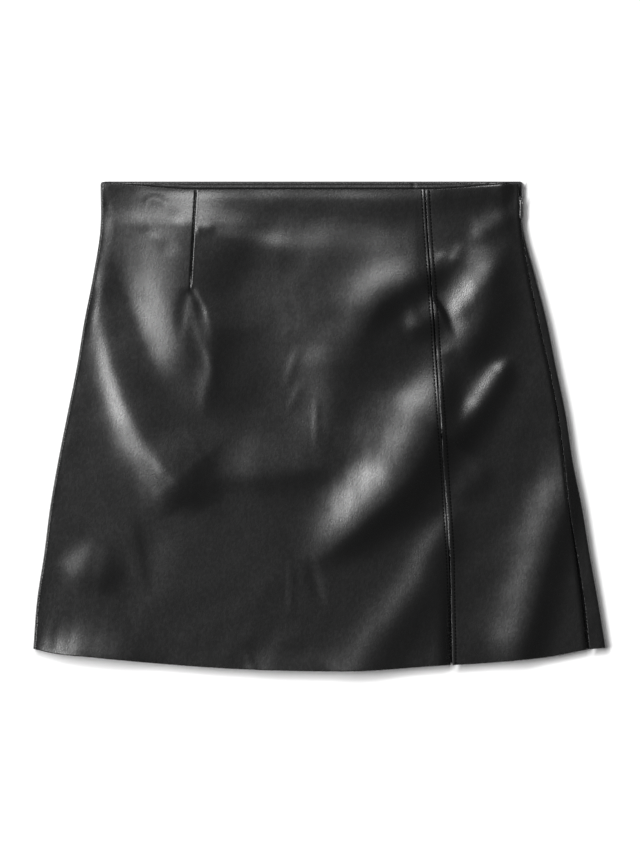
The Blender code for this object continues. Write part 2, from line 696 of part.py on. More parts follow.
def make_pull(material):
    """The pull tab: a small plate whose end bar turns in the slider's loop."""
    half = 0.5 * PULL_WIDTH
    round_end = [(half * math.cos(a), -PULL_LENGTH + half * (1.0 + math.sin(a)))
                 for a in np.linspace(math.radians(-180), 0.0, 9)]
    shoulder = [(PULL_WAIST * half, -0.4 * PULL_LENGTH), (PULL_WAIST * half, PULL_PIN)]
    outline = round_end + shoulder + [(-u, v) for u, v in reversed(shoulder)]
    plate = prism("zip_pull", outline, -0.5 * PULL_THICK, 0.5 * PULL_THICK, (0, 1, 2))
    obj = add_object("zip_pull", plate, material)
    obj.matrix_world = zip_matrix(SLIDER_PROUD + PULL_LIFT)
    window_half = 0.5 * CROWN_THICK + PULL_PLAY
    window = [(-window_half, -PULL_WINDOW), (window_half, -PULL_WINDOW),
              (window_half, -PULL_PIN), (-window_half, -PULL_PIN)]
    cutter = add_guide("window_guide", prism("window", window, -1.0, 1.0, (0, 1, 2)))
    cutter.matrix_world = obj.matrix_world
    add_boolean(obj, cutter, "DIFFERENCE")
    add_bevel(obj, PULL_BEVEL, 1)
    return obj


# ---------------------------------------------------------------- materials
def make_material(name, color, roughness, metallic=0.0):
    material = bpy.data.materials.new(name)
    material.use_nodes = True
    shader = material.node_tree.nodes["Principled BSDF"]
    shader.inputs["Base Color"].default_value = (*color, 1.0)
    shader.inputs["Roughness"].default_value = roughness
    shader.inputs["Metallic"].default_value = metallic
    return material


def main():
    clear_scene()
    leather = make_material("black_leather", (0.012, 0.012, 0.013), 0.38)
    tape = make_material("black_tape", (0.010, 0.010, 0.011), 0.85)
    coil = make_material("black_nylon", (0.014, 0.014, 0.015), 0.45)
    metal = make_material("dark_metal", (0.14, 0.14, 0.142), 0.3, 0.9)
    make_front_main(leather)
    make_front_side(leather)
    make_back_panel(leather)
    make_facing_back(leather)
    make_tape("zip_tape_front", False, TAPE_START_FRONT, tape)
    make_tape("zip_tape_back", True, TAPE_START_BACK, tape)
    make_zip_coil(coil)
    make_slider(metal)
    make_pull(metal)


main()
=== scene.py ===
"""Looks of the black imitation-leather mini skirt, laid flat on its back.

Each cloth piece is a thin shell on the form of its solid in the frame, with rounded edges,
finer folds, seams and stitches. Lengths here are in millimetres until a mesh is made.
"drop" is the distance below the back's waist edge.
"""

import math
from collections import namedtuple

import bpy
import numpy as np
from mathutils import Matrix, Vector


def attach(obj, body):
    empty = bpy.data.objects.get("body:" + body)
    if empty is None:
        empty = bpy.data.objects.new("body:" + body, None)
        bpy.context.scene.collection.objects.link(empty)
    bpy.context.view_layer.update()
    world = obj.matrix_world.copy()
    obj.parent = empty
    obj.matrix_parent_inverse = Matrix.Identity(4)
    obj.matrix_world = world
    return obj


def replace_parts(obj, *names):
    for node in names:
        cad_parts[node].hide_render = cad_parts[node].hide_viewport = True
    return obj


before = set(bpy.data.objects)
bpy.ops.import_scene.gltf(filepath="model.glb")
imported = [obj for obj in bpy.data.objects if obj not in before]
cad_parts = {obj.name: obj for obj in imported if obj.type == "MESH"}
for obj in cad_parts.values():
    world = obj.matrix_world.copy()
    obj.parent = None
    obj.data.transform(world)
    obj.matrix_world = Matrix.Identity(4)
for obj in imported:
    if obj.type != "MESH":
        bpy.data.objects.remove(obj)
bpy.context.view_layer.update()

MM = 0.001


def table(row_type, *rows):
    """Rows with named columns."""
    return tuple(row_type(*row) for row in rows)


# ---------------- the skirt's sizes, as in the frame
LENGTH = 422.0          # over all, from the back's waist edge to the lowest point of the hem
WALL = 1.2
TURNED_WALL = 2.0       # the wall where an edge is turned in
HEM_TURN = 30.0         # depth of the turned hem
HEM_TURN_RUN = 3.0      # over which the wall thickens there
WAIST_TURN = 6.0        # and of the waist
WAIST_TURN_RUN = 6.0
SEAM_GAP = 0.3          # between pieces that are sewn to each other
WAIST_DROOP = 5.1       # the front's waist edge lies lower than the back's at the middle
DROOP_LEFT = -189.0     # where that droop starts, and how far in it is complete
DROOP_LEFT_RUN = 84.0
DROOP_RIGHT = 172.0
DROOP_RIGHT_RUN = 80.0
SIDE_WAIST_DROP = 2.0   # the front's waist edge at the two side seams
SIDE_HEM_DROP = 402.3   # the hem at the two side seams

# Outline and seam lines: x of each line at each drop
Station = namedtuple("Station", "drop left dart panel seam right")
STATIONS = table(
    Station,
    (0.0, -189.0, -106.4, 90.2, 172.3, 174.9),
    (40.0, -189.3, -108.6, 92.5, 173.7, 176.2),
    (80.0, -195.4, -110.9, 95.5, 179.8, 186.4),
    (120.0, -203.2, -112.6, 98.4, 188.2, 196.5),
    (160.0, -209.7, -114.3, 101.0, 197.2, 204.5),
    (200.0, -217.7, -116.0, 103.8, 204.7, 212.7),
    (240.0, -225.6, -117.8, 106.4, 210.1, 218.7),
    (280.0, -232.5, -119.5, 109.3, 214.4, 226.7),
    (320.0, -237.6, -121.3, 111.7, 220.7, 233.1),
    (360.0, -243.7, -123.0, 112.4, 226.7, 240.2),
    (402.3, -247.0, -124.8, 113.3, 231.3, 247.0),
)

# The hem's drop at each x
HemPoint = namedtuple("HemPoint", "x drop")
HEM = table(
    HemPoint,
    (-247.0, 402.3),
    (-232.0, 405.8),
    (-198.0, 409.4),
    (-146.0, 414.4),
    (-77.5, 419.4),
    (-20.0, 421.3),
    (40.0, 421.3),
    (95.0, 417.4),
    (146.0, 414.4),
    (198.0, 409.2),
    (231.3, 403.0),
    (247.0, 401.5),
)

# How the tube lies: half height of its rolled side folds, widths of the left and the right
# one and of the roll that the zip follows, and how far the front stands above them at the
# middle, at each drop
Lie = namedtuple("Lie", "drop half_fold left_width right_width zip_width crown")
LIES = table(
    Lie,
    (0.0, 3.8, 1.3, 3.9, 4.2, 2.8),
    (20.0, 4.0, 1.3, 4.0, 4.4, 3.2),
    (60.0, 4.2, 1.3, 3.4, 5.0, 5.2),
    (120.0, 4.4, 1.3, 2.6, 6.0, 6.6),
    (200.0, 4.6, 1.3, 2.2, 7.0, 6.2),
    (320.0, 4.6, 1.3, 2.2, 7.0, 4.0),
    (402.3, 4.4, 1.3, 2.2, 6.5, 3.0),
)
EDGE_SHARE = 0.25       # the part of that crown that is reached just inside the folds
EDGE_RISE = 1.5
ARCH_POWER = 1.6

# The large folds of the front: a path of (x, drop) points along each crest, its height, its
# width on the side that faces the upper left and on the other side, how much wider it grows
# along the path, and the part of its length over which it rises and fades. The last three
# have usual values, which a row can leave out.
Fold = namedtuple("Fold", "name path height near far grow rise fade", defaults=(0, 0.4, 0.4))
FOLDS = table(
    Fold,
    ("waist roll", ((110, 17), (30, 17), (-60, 17), (-186, 14)), 1, 8, 13, 0, 0.15, 0.15),
    ("left valley", ((-179, 55), (-174, 74), (-167, 93), (-160, 111), (-152, 133), (-142, 155),
     (-132, 176)), -0.8, 9, 20, 0, 0.3, 0.3),
    ("left fold", ((-191, 50), (-189, 72), (-189, 98), (-184, 128), (-178, 152), (-171, 172), (-164, 191),
     (-155, 210), (-144, 229), (-132, 245), (-121, 258), (-109, 271), (-100, 286)),
     5.2, 17, 26, 0.6, 0.75, 0.15),
    ("dart crown", ((-117, 7), (-117, 59), (-118, 93), (-118, 119), (-114, 145), (-105, 171), (-96, 192),
     (-86, 216)), 5.2, 35, 40, -0.8, 0.15, 0.42),
    ("dart streak", ((-98, 95), (-93, 123), (-90, 145), (-91, 166), (-96, 188), (-101, 209)),
     2, 10, 36, 0.2, 0.35, 0.35),
    ("belly", ((110, 108), (60, 110), (20, 106), (-30, 98), (-82, 92)), 3.6, 50, 60, 0, 0.35, 0.45),
    ("middle streak", ((8, 115), (13, 149), (15, 184), (11, 214), (3, 244)), 3.2, 28, 60, 0, 0.35, 0.25),
    ("middle ridge", ((30, 70), (26, 110), (18, 145), (14, 179), (15, 214)), 0.8, 32, 20),
    ("upper band", ((96, 55), (75, 56), (43, 58), (0, 59), (-69, 61)), 1, 18, 18, 0, 0.1, 0.4),
    ("upper diagonal", ((129, 62), (108, 73), (86, 85), (65, 96), (50, 107), (36, 129), (22, 157)),
     4.8, 27, 14, 0.4, 0.45, 0.6),
    ("seam patch", ((108, 110), (90, 120), (70, 132)), 4, 21, 13, 0, 0.15, 0.5),
    ("great diagonal", ((108, 141), (103, 178), (99, 200), (94, 220), (86, 238), (76, 254), (63, 270),
     (46, 285), (28, 302), (5, 318), (-24, 332)), 11.4, 40, 20, -0.1, 0.3, 0.5),
    ("lower diagonal", ((120, 272), (110, 298), (97, 323), (90, 343), (78, 362), (65, 380), (51, 398),
     (28, 438)), 2.6, 18, 18, 0.5, 0.25, 0.05),
    ("zip fan top", ((169, 26), (150, 38), (126, 54)), 1.7, 12, 10, 0, 0.3, 0.4),
    ("zip fan low", ((164, 25), (160, 46), (154, 69), (146, 93), (139, 115), (132, 136), (119, 175)),
     4.9, 25, 18, 0.1, 0.6, 0.3),
    ("zip fan left", ((157, 67), (143, 85), (127, 103), (109, 120)), 1.1, 13, 10, 0, 0.3, 0.25),
    ("panel streak", ((165, 148), (155, 168), (145, 184), (135, 197), (124, 212), (112, 226)),
     3.6, 13, 10, 0.1, 0.25, 0.06),
    ("panel low", ((152, 243), (131, 258), (112, 276)), 1.2, 16, 12),
    ("side band", ((208, 210), (213, 250), (211, 275), (201, 304), (191, 339), (181, 377), (165, 438)),
     5, 26, 14, 0, 0.35, 0.2),
    ("left bump", ((-165, 341), (-189, 336), (-207, 331), (-226, 322)), 2.2, 18, 16, 0, 0.4, 0.45),
    ("corner", ((-130, 424), (-176, 420), (-211, 416), (-250, 408)), 5.4, 28, 10, 0, 0.5, 0.4),
    ("hem lift", ((69, 432), (0, 434), (-77, 431)), 2, 22, 10, 0, 0.4, 0.3),
    ("middle low", ((34, 228), (9, 240), (-30, 250), (-69, 253), (-103, 257)), 2.4, 24, 16),
    ("dart shoulder", ((-17, 66), (-47, 59), (-77, 52), (-108, 45), (-146, 40)), 1.5, 16, 26, 0, 0.45, 0.5),
    ("waist dark", ((169, 4), (129, 6), (73, 7)), 2.6, 5, 15, 0, 0.15, 0.35),
)

# Small creases of the front, in the same columns
CREASES = table(
    Fold,
    ("corner dent", ((-190, 4), (-172, 5), (-150, 8)), 0.4, 6, 8, 0, 0.1, 0.5),
    ("corner nick", ((-189, 15), (-184, 21), (-178, 28)), -0.35, 3, 3, 0, 0.2, 0.6),
    ("shoulder line", ((-10, 63), (-45, 57), (-75, 52), (-104, 46)), 0.9, 13, 22, 0, 0.3, 0.35),
    ("side puff", ((160, 44), (142, 62), (122, 78), (106, 90)), 1.2, 14, 18),
    ("left ease", ((-190, 85), (-187, 110), (-182, 135), (-176, 158)), -0.7, 15, 24, 0, 0.35, 0.4),
    ("left tail", ((-150, 222), (-132, 245), (-118, 261), (-100, 280), (-84, 296)),
     1.3, 15, 34, 0, 0.35, 0.45),
    ("upper swell", ((110, 66), (84, 80), (62, 94), (46, 112), (34, 134)), 1.3, 32, 14, 0, 0.35, 0.5),
    ("side swell", ((172, 84), (150, 112), (126, 138), (108, 160)), 1.4, 32, 16, 0, 0.3, 0.4),
    ("panel tail", ((150, 190), (132, 212), (112, 230)), 1.1, 16, 12, 0, 0.3, 0.25),
    ("dart side", ((-90, 37), (-98, 41), (-107, 41)), 0.4, 4, 5, 0, 0.4, 0.1),
    ("dart tip right", ((-112, 90), (-103, 108), (-96, 125)), -0.6, 3, 3.5, 0, 0.1, 0.5),
    ("dart tip left", ((-113, 92), (-118, 112), (-120, 140)), -0.5, 5, 5, 0, 0.1, 0.6),
    ("dart streak", ((-110, 98), (-103, 132), (-94, 153), (-88, 190)), 0.35, 4, 4, 0, 0.3, 0.4),
    ("dart streak 2", ((-108, 87), (-97, 115), (-88, 140)), 0.25, 3, 4, 0, 0.3, 0.5),
    ("band tail", ((-118, 209), (-107, 227), (-99, 240), (-90, 255)), 0.25, 4, 3, 0, 0.3, 0.4),
    ("band dent 1", ((-146, 38), (-150, 50)), -0.3, 9, 9, 0, 0.5, 0.5),
    ("band dent 2", ((-120, 22), (-128, 40)), -0.3, 8, 8, 0, 0.5, 0.5),
    ("band dent 3", ((-126, 48), (-136, 66)), -0.35, 9, 9, 0, 0.5, 0.5),
    ("middle line 1", ((-17, 138), (-24, 158), (-31, 180)), 0.25, 3, 5),
    ("middle line 2", ((-14, 170), (-21, 186), (-28, 202)), 0.22, 3, 4),
    ("middle line 3", ((-3, 180), (-3, 205), (-3, 234)), 0.3, 2.5, 3),
    ("low line", ((-25, 322), (-25, 350), (-25, 380)), 0.28, 2.2, 2.4),
    ("low curve", ((-9, 318), (-4, 347), (6, 368)), -0.5, 5, 5),
    ("left crease", ((-158, 284), (-151, 308), (-146, 334), (-144, 362)), -0.6, 6, 16),
    ("hem pinch", ((-64, 400), (-60, 412), (-57, 422)), 0.35, 4, 2.5, 0, 0.5, 0.1),
    ("corner stripe 1", ((-228, 372), (-231, 388), (-233, 402)), 0.18, 4, 3, 0, 0.4, 0.1),
    ("corner stripe 2", ((-216, 374), (-220, 390), (-222, 405)), 0.16, 4, 3, 0, 0.4, 0.1),
    ("corner stripe 3", ((-203, 376), (-207, 392), (-209, 407)), 0.12, 5, 4, 0, 0.4, 0.1),
    ("hook", ((121, 49), (119, 62), (112, 69), (99, 62)), 0.45, 5, 6, 0, 0.3, 0.2),
    ("seam nick", ((118, 142), (110, 147), (101, 153)), 0.35, 5, 5, 0, 0.4, 0.2),
    ("seam nick 2", ((101, 270), (97, 278), (92, 286)), 0.3, 5, 5),
    ("imprint", ((-132, 20), (-136, 15), (-143, 13.5), (-149, 16), (-151, 21)),
     -0.22, 1.1, 1.1, 0, 0.15, 0.15),
)

# Shallow creases of the back, which lift the cloth off the table
BACK_CREASES = table(
    Fold,
    ("back left", ((-150, 20), (-120, 110), (-60, 190)), 1.5, 16, 12, 0, 0.4, 0.5),
    ("back right", ((140, 30), (105, 110), (30, 200)), 1.6, 14, 18, 0, 0.4, 0.5),
    ("back hip", ((-185, 120), (-140, 170), (-90, 230)), 1.3, 13, 10, 0, 0.4, 0.5),
    ("back sweep", ((120, 190), (70, 260), (-20, 320)), 1.8, 20, 15, 0, 0.4, 0.5),
    ("back low", ((60, 300), (10, 350), (-30, 400)), 1.2, 14, 14),
    ("back corner", ((-205, 300), (-170, 350), (-160, 400)), 1.4, 12, 16, 0, 0.4, 0.3),
    ("back side", ((190, 240), (165, 320), (150, 400)), 1.5, 15, 12, 0, 0.4, 0.3),
)
END_WIDTH = 0.55        # a fold's width at its ends, as a share of its full width
FOLD_REACH = 3.2        # how many widths from its crest a fold has no height left
PATH_STEPS = 8          # straight steps of a crest between two points of its path
FOLD_MARGIN = 12.0      # folds die out over this distance from the tube's side folds
CREASE_MARGIN = 8.0     # and creases over this one

# Slight unevenness of the cloth between its folds: waves, each one longer, higher and
# turned further than the one before
WAVES = 9
WAVE_LENGTH = 17.0
WAVE_LENGTH_STEP = 6.0
WAVE_HEIGHT = 0.02
WAVE_HEIGHT_STEP = 0.008
WAVE_TURN = 2.4
WAVE_PHASE = 1.7
SWELL_LENGTH = 23.0     # each wave comes and goes, by one radian over this length
SWELL_LENGTH_STEP = 5.0
# The waves' lines wander across and down the cloth: by how much, by one radian over what
# length in x and in drop, and from what angle
Wander = namedtuple("Wander", "size over_x over_drop start")
WANDER_ACROSS = table(Wander, (9.0, math.inf, 31.0, 0.0), (6.0, 23.0, 47.0, 0.0))
WANDER_DOWN = table(Wander, (10.0, 37.0, math.inf, 1.3), (6.0, -59.0, 21.0, 0.0))

# The panel seam, its stitches and the slit
SEAM_ROLL = 0.7         # how deep and how far the main panel rolls into the seam
SEAM_ROLL_SIDE = 0.08   # and the side panel
STRIP_SWELL = 0.13      # how much the cloth swells between the seam and the stitches
STRIP_WIDTH = 1.0
OPEN_SEAM = 1.0         # how far the turned edges stand apart along the seam
WAIST_SEWN = 12.0       # over this length they close up towards the waist edge
SLIT_TOP = 305.0        # drop at which the seam opens
SLIT_GAP = 1.2          # how far its edges stand apart at the hem
SLIT_DIP = 4.0          # how far the main panel's edge hangs lower at the hem
SLIT_DIP_WIDTH = 5.5
STITCH_OFFSET = 3.3     # from the seam to each row of topstitches
SHIFT_MAIN = -1.6       # how much further from it the main panel's row lies at the hem
SHIFT_SIDE = 0.3        # and the side panel's
SHIFT_RUN = 90.0        # over which they shift, from the slit's top
STITCH_PULL = 0.08      # how deep the stitches pull the cloth down
STITCH_PULL_WIDTH = 0.8
SLOPE_STEP = 0.25       # from a stitch's end to where the cloth's slope is read
STITCH_PITCH = 3.0
STITCH_LENGTH = 2.35
STITCH_START = 0.9      # from the waist edge to the first stitch
STITCH_END = 2.0        # and from the last one to the hem
ROW_TOP = 10.0          # drop at which each row's x at the waist is read
THREAD_RADIUS = 0.45
THREAD_SIDES = 6
# A stitch's rings of points: how far along it, and its height and its girth in thread radii
Ring = namedtuple("Ring", "share rise girth")
STITCH_RINGS = table(
    Ring,
    (0.0, -0.55, 0.75),
    (0.08, 0.2, 1.0),
    (0.3, 0.75, 1.05),
    (0.5, 0.85, 1.1),
    (0.7, 0.75, 1.05),
    (0.92, 0.2, 1.0),
    (1.0, -0.55, 0.75),
)

# The dart under the waist
DART_LENGTH = 83.6
DART_DEPTH = 2.2
DART_WIDTH = 0.6
DART_FADE = 14.0        # over which it fades out, to a little past its length
DART_FADE_PAST = 3.0
DART_RISE = 8.0         # over which it deepens, from a little above the waist edge
DART_RISE_ABOVE = 2.0
DART_LIP = 0.08         # height, place and width of the lip on its right
DART_LIP_OFFSET = 1.6
DART_LIP_WIDTH = 0.9

# The right side seam, whose edge rolls down and which opens towards the hem, and the left
SIDE_SEAM = 0.4         # how far its edges stand apart above and at the hem
SIDE_SEAM_LOW = 1.6
SIDE_OPEN_START = 230.0
SIDE_OPEN_RUN = 150.0
SIDE_ROLL = 1.2         # depth and width of the side panel's roll above
SIDE_ROLL_WIDTH = 1.6
SIDE_ROLL_LOW = 1.5     # how much deeper it is at the hem
SIDE_ROLL_SPREAD = 0.5  # and how much wider, as a share
SIDE_ROLL_START = 270.0
SIDE_ROLL_RUN = 110.0
LEFT_FLAT = 0.14        # how much of the crown the cloth keeps at the left fold, and how far in
LEFT_FLAT_WIDTH = 2.2
LEFT_SEAM_INSET = 1.3   # from the left fold to the side seam on it

# The zip in the right side seam
ZIP_TOP = 3.0           # drop of the top of the coil
ZIP_LENGTH = 180.0
ZIP_OPEN_END = 34.0     # drop where the seam closes over the zip
ZIP_OPEN_GAP = 2.9      # width of the opening
ZIP_CLOSE_RUN = 6.0     # over which it narrows to a seam
SLIDER_DROP = 16.5      # middle of the slider
TAPE_WIDTH = 10.4
TAPE_WALL = 0.5
TAPE_START_FRONT = 3.0  # from the seam to each tape, measured along the skin
TAPE_START_BACK = 4.0
TAPE_REACH = 16.0       # how much of the front's and of the back's skin its path follows
TAPE_REACH_BACK = 14.0
COIL_WIDTH = 2.2
COIL_HEIGHT = 1.0
COIL_DEPTH = 1.7        # from the skin down to the coil
COIL_PITCH = 1.25
COIL_WIRE = 0.27        # radius of its nylon
COIL_SIDE_INSET = 0.3   # from its side to the middle of the nylon
COIL_END_INSET = 0.4
COIL_LEVEL = 0.55       # how deep its middle lies, as a share of its height
COIL_RISE = 0.32        # how far each loop rises and sinks
COIL_SINK_START = 5.0   # below the slider it follows the seam's roll, from here
COIL_SINK_RUN = 6.0
SEAM_SLOPE_STEP = 0.8   # from the seam to where the skin's slope beside it is read

# Facing inside the back waist
FACING_DEPTH = 32.0
FACING_WALL = 1.0
FACING_TOP = 0.8
FACING_INSET = 8.0
FACING_ZIP_INSET = 12.4  # it ends beside the zip's tape
FACING_SWELL = 0.45     # how much it swells, and over what part of the depth that shows
FACING_SWELL_START = 0.35
FACING_SWELL_RUN = 0.5
FACING_DIP = 0.5        # how much it dips under the front's edge
FACING_DIP_WIDTH = 1.3
FACING_JOINS = (81.0, 146.0)    # x of the joins across it
JOIN_DEPTH = 0.5
JOIN_WIDTH = 0.6
FACING_ROW = 1.2        # from its edge to its row of small stitches
FACING_ROW_INSET = 2.0
FACING_STITCH = 1.9
FACING_PITCH = 2.6
FACING_THREAD = 0.2     # radius of the thread
FACING_THREAD_SUNK = 0.1

BACK_HEM_SHORT = 3.0    # the back's hem lies this much higher in the middle than the front's
CORNER_RADIUS = 3.0     # rounded corners of the waist, seen from above

EDGE_ROUND = 0.6        # how far a wall's edges are rounded, as a share of half the wall
PRESSED = 4.0           # how much sharper the pressed edges at the seams are

# Mesh fineness: steps between rows and columns, and their places beside edges and lines
ROW_STEP = 2.0
MAIN_STEP = 2.6
SIDE_STEP = 2.4
EDGE_STEPS = (0.0, 0.05, 0.15, 0.3, 0.5, 0.9, 1.5, 2.2, 3.1, 4.4)
FOLD_SIDE = (0.0, 0.05, 0.15, 0.3, 0.5, 0.9, 1.4, 2.1, 3.0, 4.1, 5.4, 7.2)
SEAM_SIDE = (0.0, 0.04, 0.12, 0.25, 0.4, 0.6, 0.9, 1.3, 1.7, 2.2, 2.7, 3.3, 3.9, 4.6, 5.4, 6.6)
DART_SIDE = (0.2, 0.42, 0.68, 1.0, 1.5, 2.2, 3.2, 4.4)
FINE_ENDS = (0.01, 0.03, 0.97, 0.99)    # extra shares at the ends of an even row
LEFT_STRIP = (1.0, 0.8, 0.6, 0.4, 0.2)  # shares of the back's strip on the left fold
BACK_FOLD_COLUMNS = 12
BACK_FLAT_COLUMNS = 121
RIGHT_STRIP_COLUMNS = 26
RIGHT_STRIP_END = (0.972, 0.984, 0.992, 0.997, 0.999)
FACING_ROWS = 26
FACING_COLUMNS = 190
TAPE_ROWS = 90
TAPE_COLUMNS = 14
SECTION_POINTS = 60     # of a section through the front's skin beside the zip
SECTION_POINTS_BACK = 50
COIL_FRAMES = 60
COIL_TURN_POINTS = 10
COIL_SIDES = 6


# ---------------- the form
def smooth_step(t):
    t = np.clip(t, 0.0, 1.0)
    return t * t * (3.0 - 2.0 * t)


def curve_through(xs, ys, at):
    """A smooth curve through (xs, ys), read at the values in `at`."""
    xs = np.asarray(xs, float)
    ys = np.asarray(ys, float)
    slope = np.gradient(ys, xs)
    at = np.clip(np.asarray(at, float), xs[0], xs[-1])
    i = np.clip(np.searchsorted(xs, at) - 1, 0, len(xs) - 2)
    step = xs[i + 1] - xs[i]
    t = (at - xs[i]) / step
    a = ys[i] * (1 + 2 * t) * (1 - t) ** 2
    b = slope[i] * step * t * (1 - t) ** 2
    c = ys[i + 1] * t * t * (3 - 2 * t)
    d = slope[i + 1] * step * t * t * (t - 1)
    return a + b + c + d


def bell(off, width):
    return np.exp(-(off / width) ** 2)


def quarter_round(reach, radius):
    """From 0 at an edge to 1 at `radius` in from it, along a quarter of a circle."""
    t = np.clip(reach / radius, 0.0, 1.0)
    return np.sqrt(1.0 - (1.0 - t) ** 2)


def line_x(name, drop):
    """x of an outline or seam line at a drop."""
    return curve_through([s.drop for s in STATIONS], [getattr(s, name) for s in STATIONS], drop)


def lie(name, drop):
    return curve_through([s.drop for s in LIES], [getattr(s, name) for s in LIES], drop)


def hem_drop(x):
    return curve_through([p.x for p in HEM], [p.drop for p in HEM], x)


def waist_drop(x):
    """Drop of the front's waist edge: level in the middle, rising to the side seams."""
    left = smooth_step((x - DROOP_LEFT) / DROOP_LEFT_RUN)
    right = smooth_step((DROOP_RIGHT - x) / DROOP_RIGHT_RUN)
    return SIDE_WAIST_DROP + WAIST_DROOP * left * right


def path_points(path):
    """Points along a smooth curve through the path."""
    pts = np.asarray(path, float)
    n = len(pts)
    t = np.linspace(0.0, n - 1.0, PATH_STEPS * (n - 1) + 1)
    return np.stack([curve_through(range(n), pts[:, 0], t), curve_through(range(n), pts[:, 1], t)], axis=1)


def fold_height(fold, x, drop):
    """Height of one fold at the points (x, drop)."""
    pts = path_points(fold.path)
    reach = FOLD_REACH * max(fold.near, fold.far) * (1.0 + 0.5 * abs(fold.grow))
    low = pts.min(axis=0) - reach
    high = pts.max(axis=0) + reach
    near_by = (x > low[0]) & (x < high[0]) & (drop > low[1]) & (drop < high[1])
    height = np.zeros(x.shape)
    if not near_by.any():
        return height
    px = x[near_by]
    py = drop[near_by]
    seg = pts[1:] - pts[:-1]
    length = np.linalg.norm(seg, axis=1)
    start = np.concatenate([[0.0], np.cumsum(length)])
    best = np.full(px.shape, np.inf)
    side = np.zeros(px.shape)
    along = np.zeros(px.shape)
    for k in range(len(seg)):
        rx = px - pts[k, 0]
        ry = py - pts[k, 1]
        t = np.clip((rx * seg[k, 0] + ry * seg[k, 1]) / length[k] ** 2, 0.0, 1.0)
        dist = np.hypot(rx - t * seg[k, 0], ry - t * seg[k, 1])
        near = dist < best
        best = np.where(near, dist, best)
        side = np.where(near, seg[k, 0] * ry - seg[k, 1] * rx, side)
        along = np.where(near, (start[k] + t * length[k]) / start[-1], along)
    ends = smooth_step(along / fold.rise) * smooth_step((1.0 - along) / fold.fade)
    width = np.where(side > 0, fold.near, fold.far)
    width = width * (END_WIDTH + (1.0 - END_WIDTH) * ends) * (1.0 + fold.grow * (along - 0.5))
    height[near_by] = fold.height * ends * bell(best, width)
    return height


def stitch_offset(drop, toward):
    """From the panel seam to the row of stitches: closer where the main panel's edge curls down."""
    curl = smooth_step((drop - SLIT_TOP) / SHIFT_RUN)
    return STITCH_OFFSET + np.where(toward < 0, SHIFT_MAIN, SHIFT_SIDE) * curl


def seam_relief(x, drop):
    """The panel seam: edges rolled in, swollen strips, cloth pulled down along the stitches."""
    off = x - line_x("panel", drop)
    away = np.abs(off)
    row = stitch_offset(drop, off)
    roll = np.where(off < 0.0, SEAM_ROLL, SEAM_ROLL_SIDE)
    relief = -roll * (1.0 - quarter_round(away, roll))
    relief += STRIP_SWELL * bell(away - 0.5 * row, STRIP_WIDTH)
    relief -= STITCH_PULL * bell(away - row, STITCH_PULL_WIDTH)
    dip = SLIT_DIP * smooth_step((drop - SLIT_TOP) / (SIDE_HEM_DROP - SLIT_TOP))
    relief -= np.where(off < 0, dip * bell(off, SLIT_DIP_WIDTH), 0.0)
    return relief


def dart_relief(x, drop):
    """The dart: a narrow groove with a lip, shallow at the waist edge and faded out below."""
    off = x - line_x("dart", drop)
    fade = smooth_step((waist_drop(x) + DART_LENGTH + DART_FADE_PAST - drop) / DART_FADE)
    sewn = smooth_step((drop - waist_drop(x) + DART_RISE_ABOVE) / DART_RISE)
    relief = -DART_DEPTH * sewn * bell(off, DART_WIDTH)
    relief += DART_LIP * bell(off - DART_LIP_OFFSET, DART_LIP_WIDTH)
    return fade * relief


def side_relief(x, drop):
    """The side panel's edge rolls down at the right side seam, more so towards the hem."""
    off = x - line_x("seam", drop)
    low = smooth_step((drop - SIDE_ROLL_START) / SIDE_ROLL_RUN)
    depth = SIDE_ROLL + SIDE_ROLL_LOW * low
    width = SIDE_ROLL_WIDTH * (1.0 + SIDE_ROLL_SPREAD * low)
    return -np.where(off < 0.0, depth * bell(off, width), 0.0)


def wander(start, waves, x, drop):
    for wave in waves:
        start = start + wave.size * np.sin(x / wave.over_x + drop / wave.over_drop + wave.start)
    return start


def crinkle(x, drop):
    """Slight unevenness of the cloth between its folds: waves that wander and come and go."""
    u = wander(x, WANDER_ACROSS, x, drop)
    v = wander(drop, WANDER_DOWN, x, drop)
    height = np.zeros(np.shape(x))
    for k in range(WAVES):
        turn = WAVE_TURN * k
        along = u * math.cos(turn) + v * math.sin(turn)
        across = u * math.sin(turn) - v * math.cos(turn)
        pace = 2.0 * math.pi / (WAVE_LENGTH + WAVE_LENGTH_STEP * k)
        wave = np.sin(pace * along + WAVE_PHASE * k * k)
        swell = 0.5 + 0.5 * np.sin(across / (SWELL_LENGTH + SWELL_LENGTH_STEP * k) + k)
        height = height + (WAVE_HEIGHT + WAVE_HEIGHT_STEP * k) * wave * swell
    return height


def top_z(x, drop, seams=True):
    """Height of the outer skin on the upper side, or without seams the form the zip follows."""
    left = line_x("left", drop)
    right = line_x("right", drop)
    half = lie("half_fold", drop)
    right_width = lie("right_width" if seams else "zip_width", drop)
    width = np.where(x - left < right - x, lie("left_width", drop), right_width)
    across = np.clip((x - left) / (right - left), 0.0, 1.0)
    edge = np.clip(np.minimum(x - left, right - x), 0.0, None)
    arch = EDGE_SHARE * (1.0 - np.exp(-edge / EDGE_RISE))
    arch = arch + (1.0 - EDGE_SHARE) * np.sin(math.pi * across) ** ARCH_POWER
    height = 2.0 * half + lie("crown", drop) * arch
    inside = smooth_step(edge / FOLD_MARGIN)
    for fold in FOLDS:
        height = height + inside * fold_height(fold, x, drop)
    if seams:
        near_edge = smooth_step(edge / CREASE_MARGIN)
        for fold in CREASES:
            height = height + near_edge * fold_height(fold, x, drop)
        height = height + near_edge * crinkle(x, drop)
        flat = LEFT_FLAT * lie("crown", drop)
        height = height + flat * bell(x - left, LEFT_FLAT_WIDTH)
        height = height + seam_relief(x, drop) + dart_relief(x, drop) + side_relief(x, drop)
    return half + (height - half) * quarter_round(edge, width)


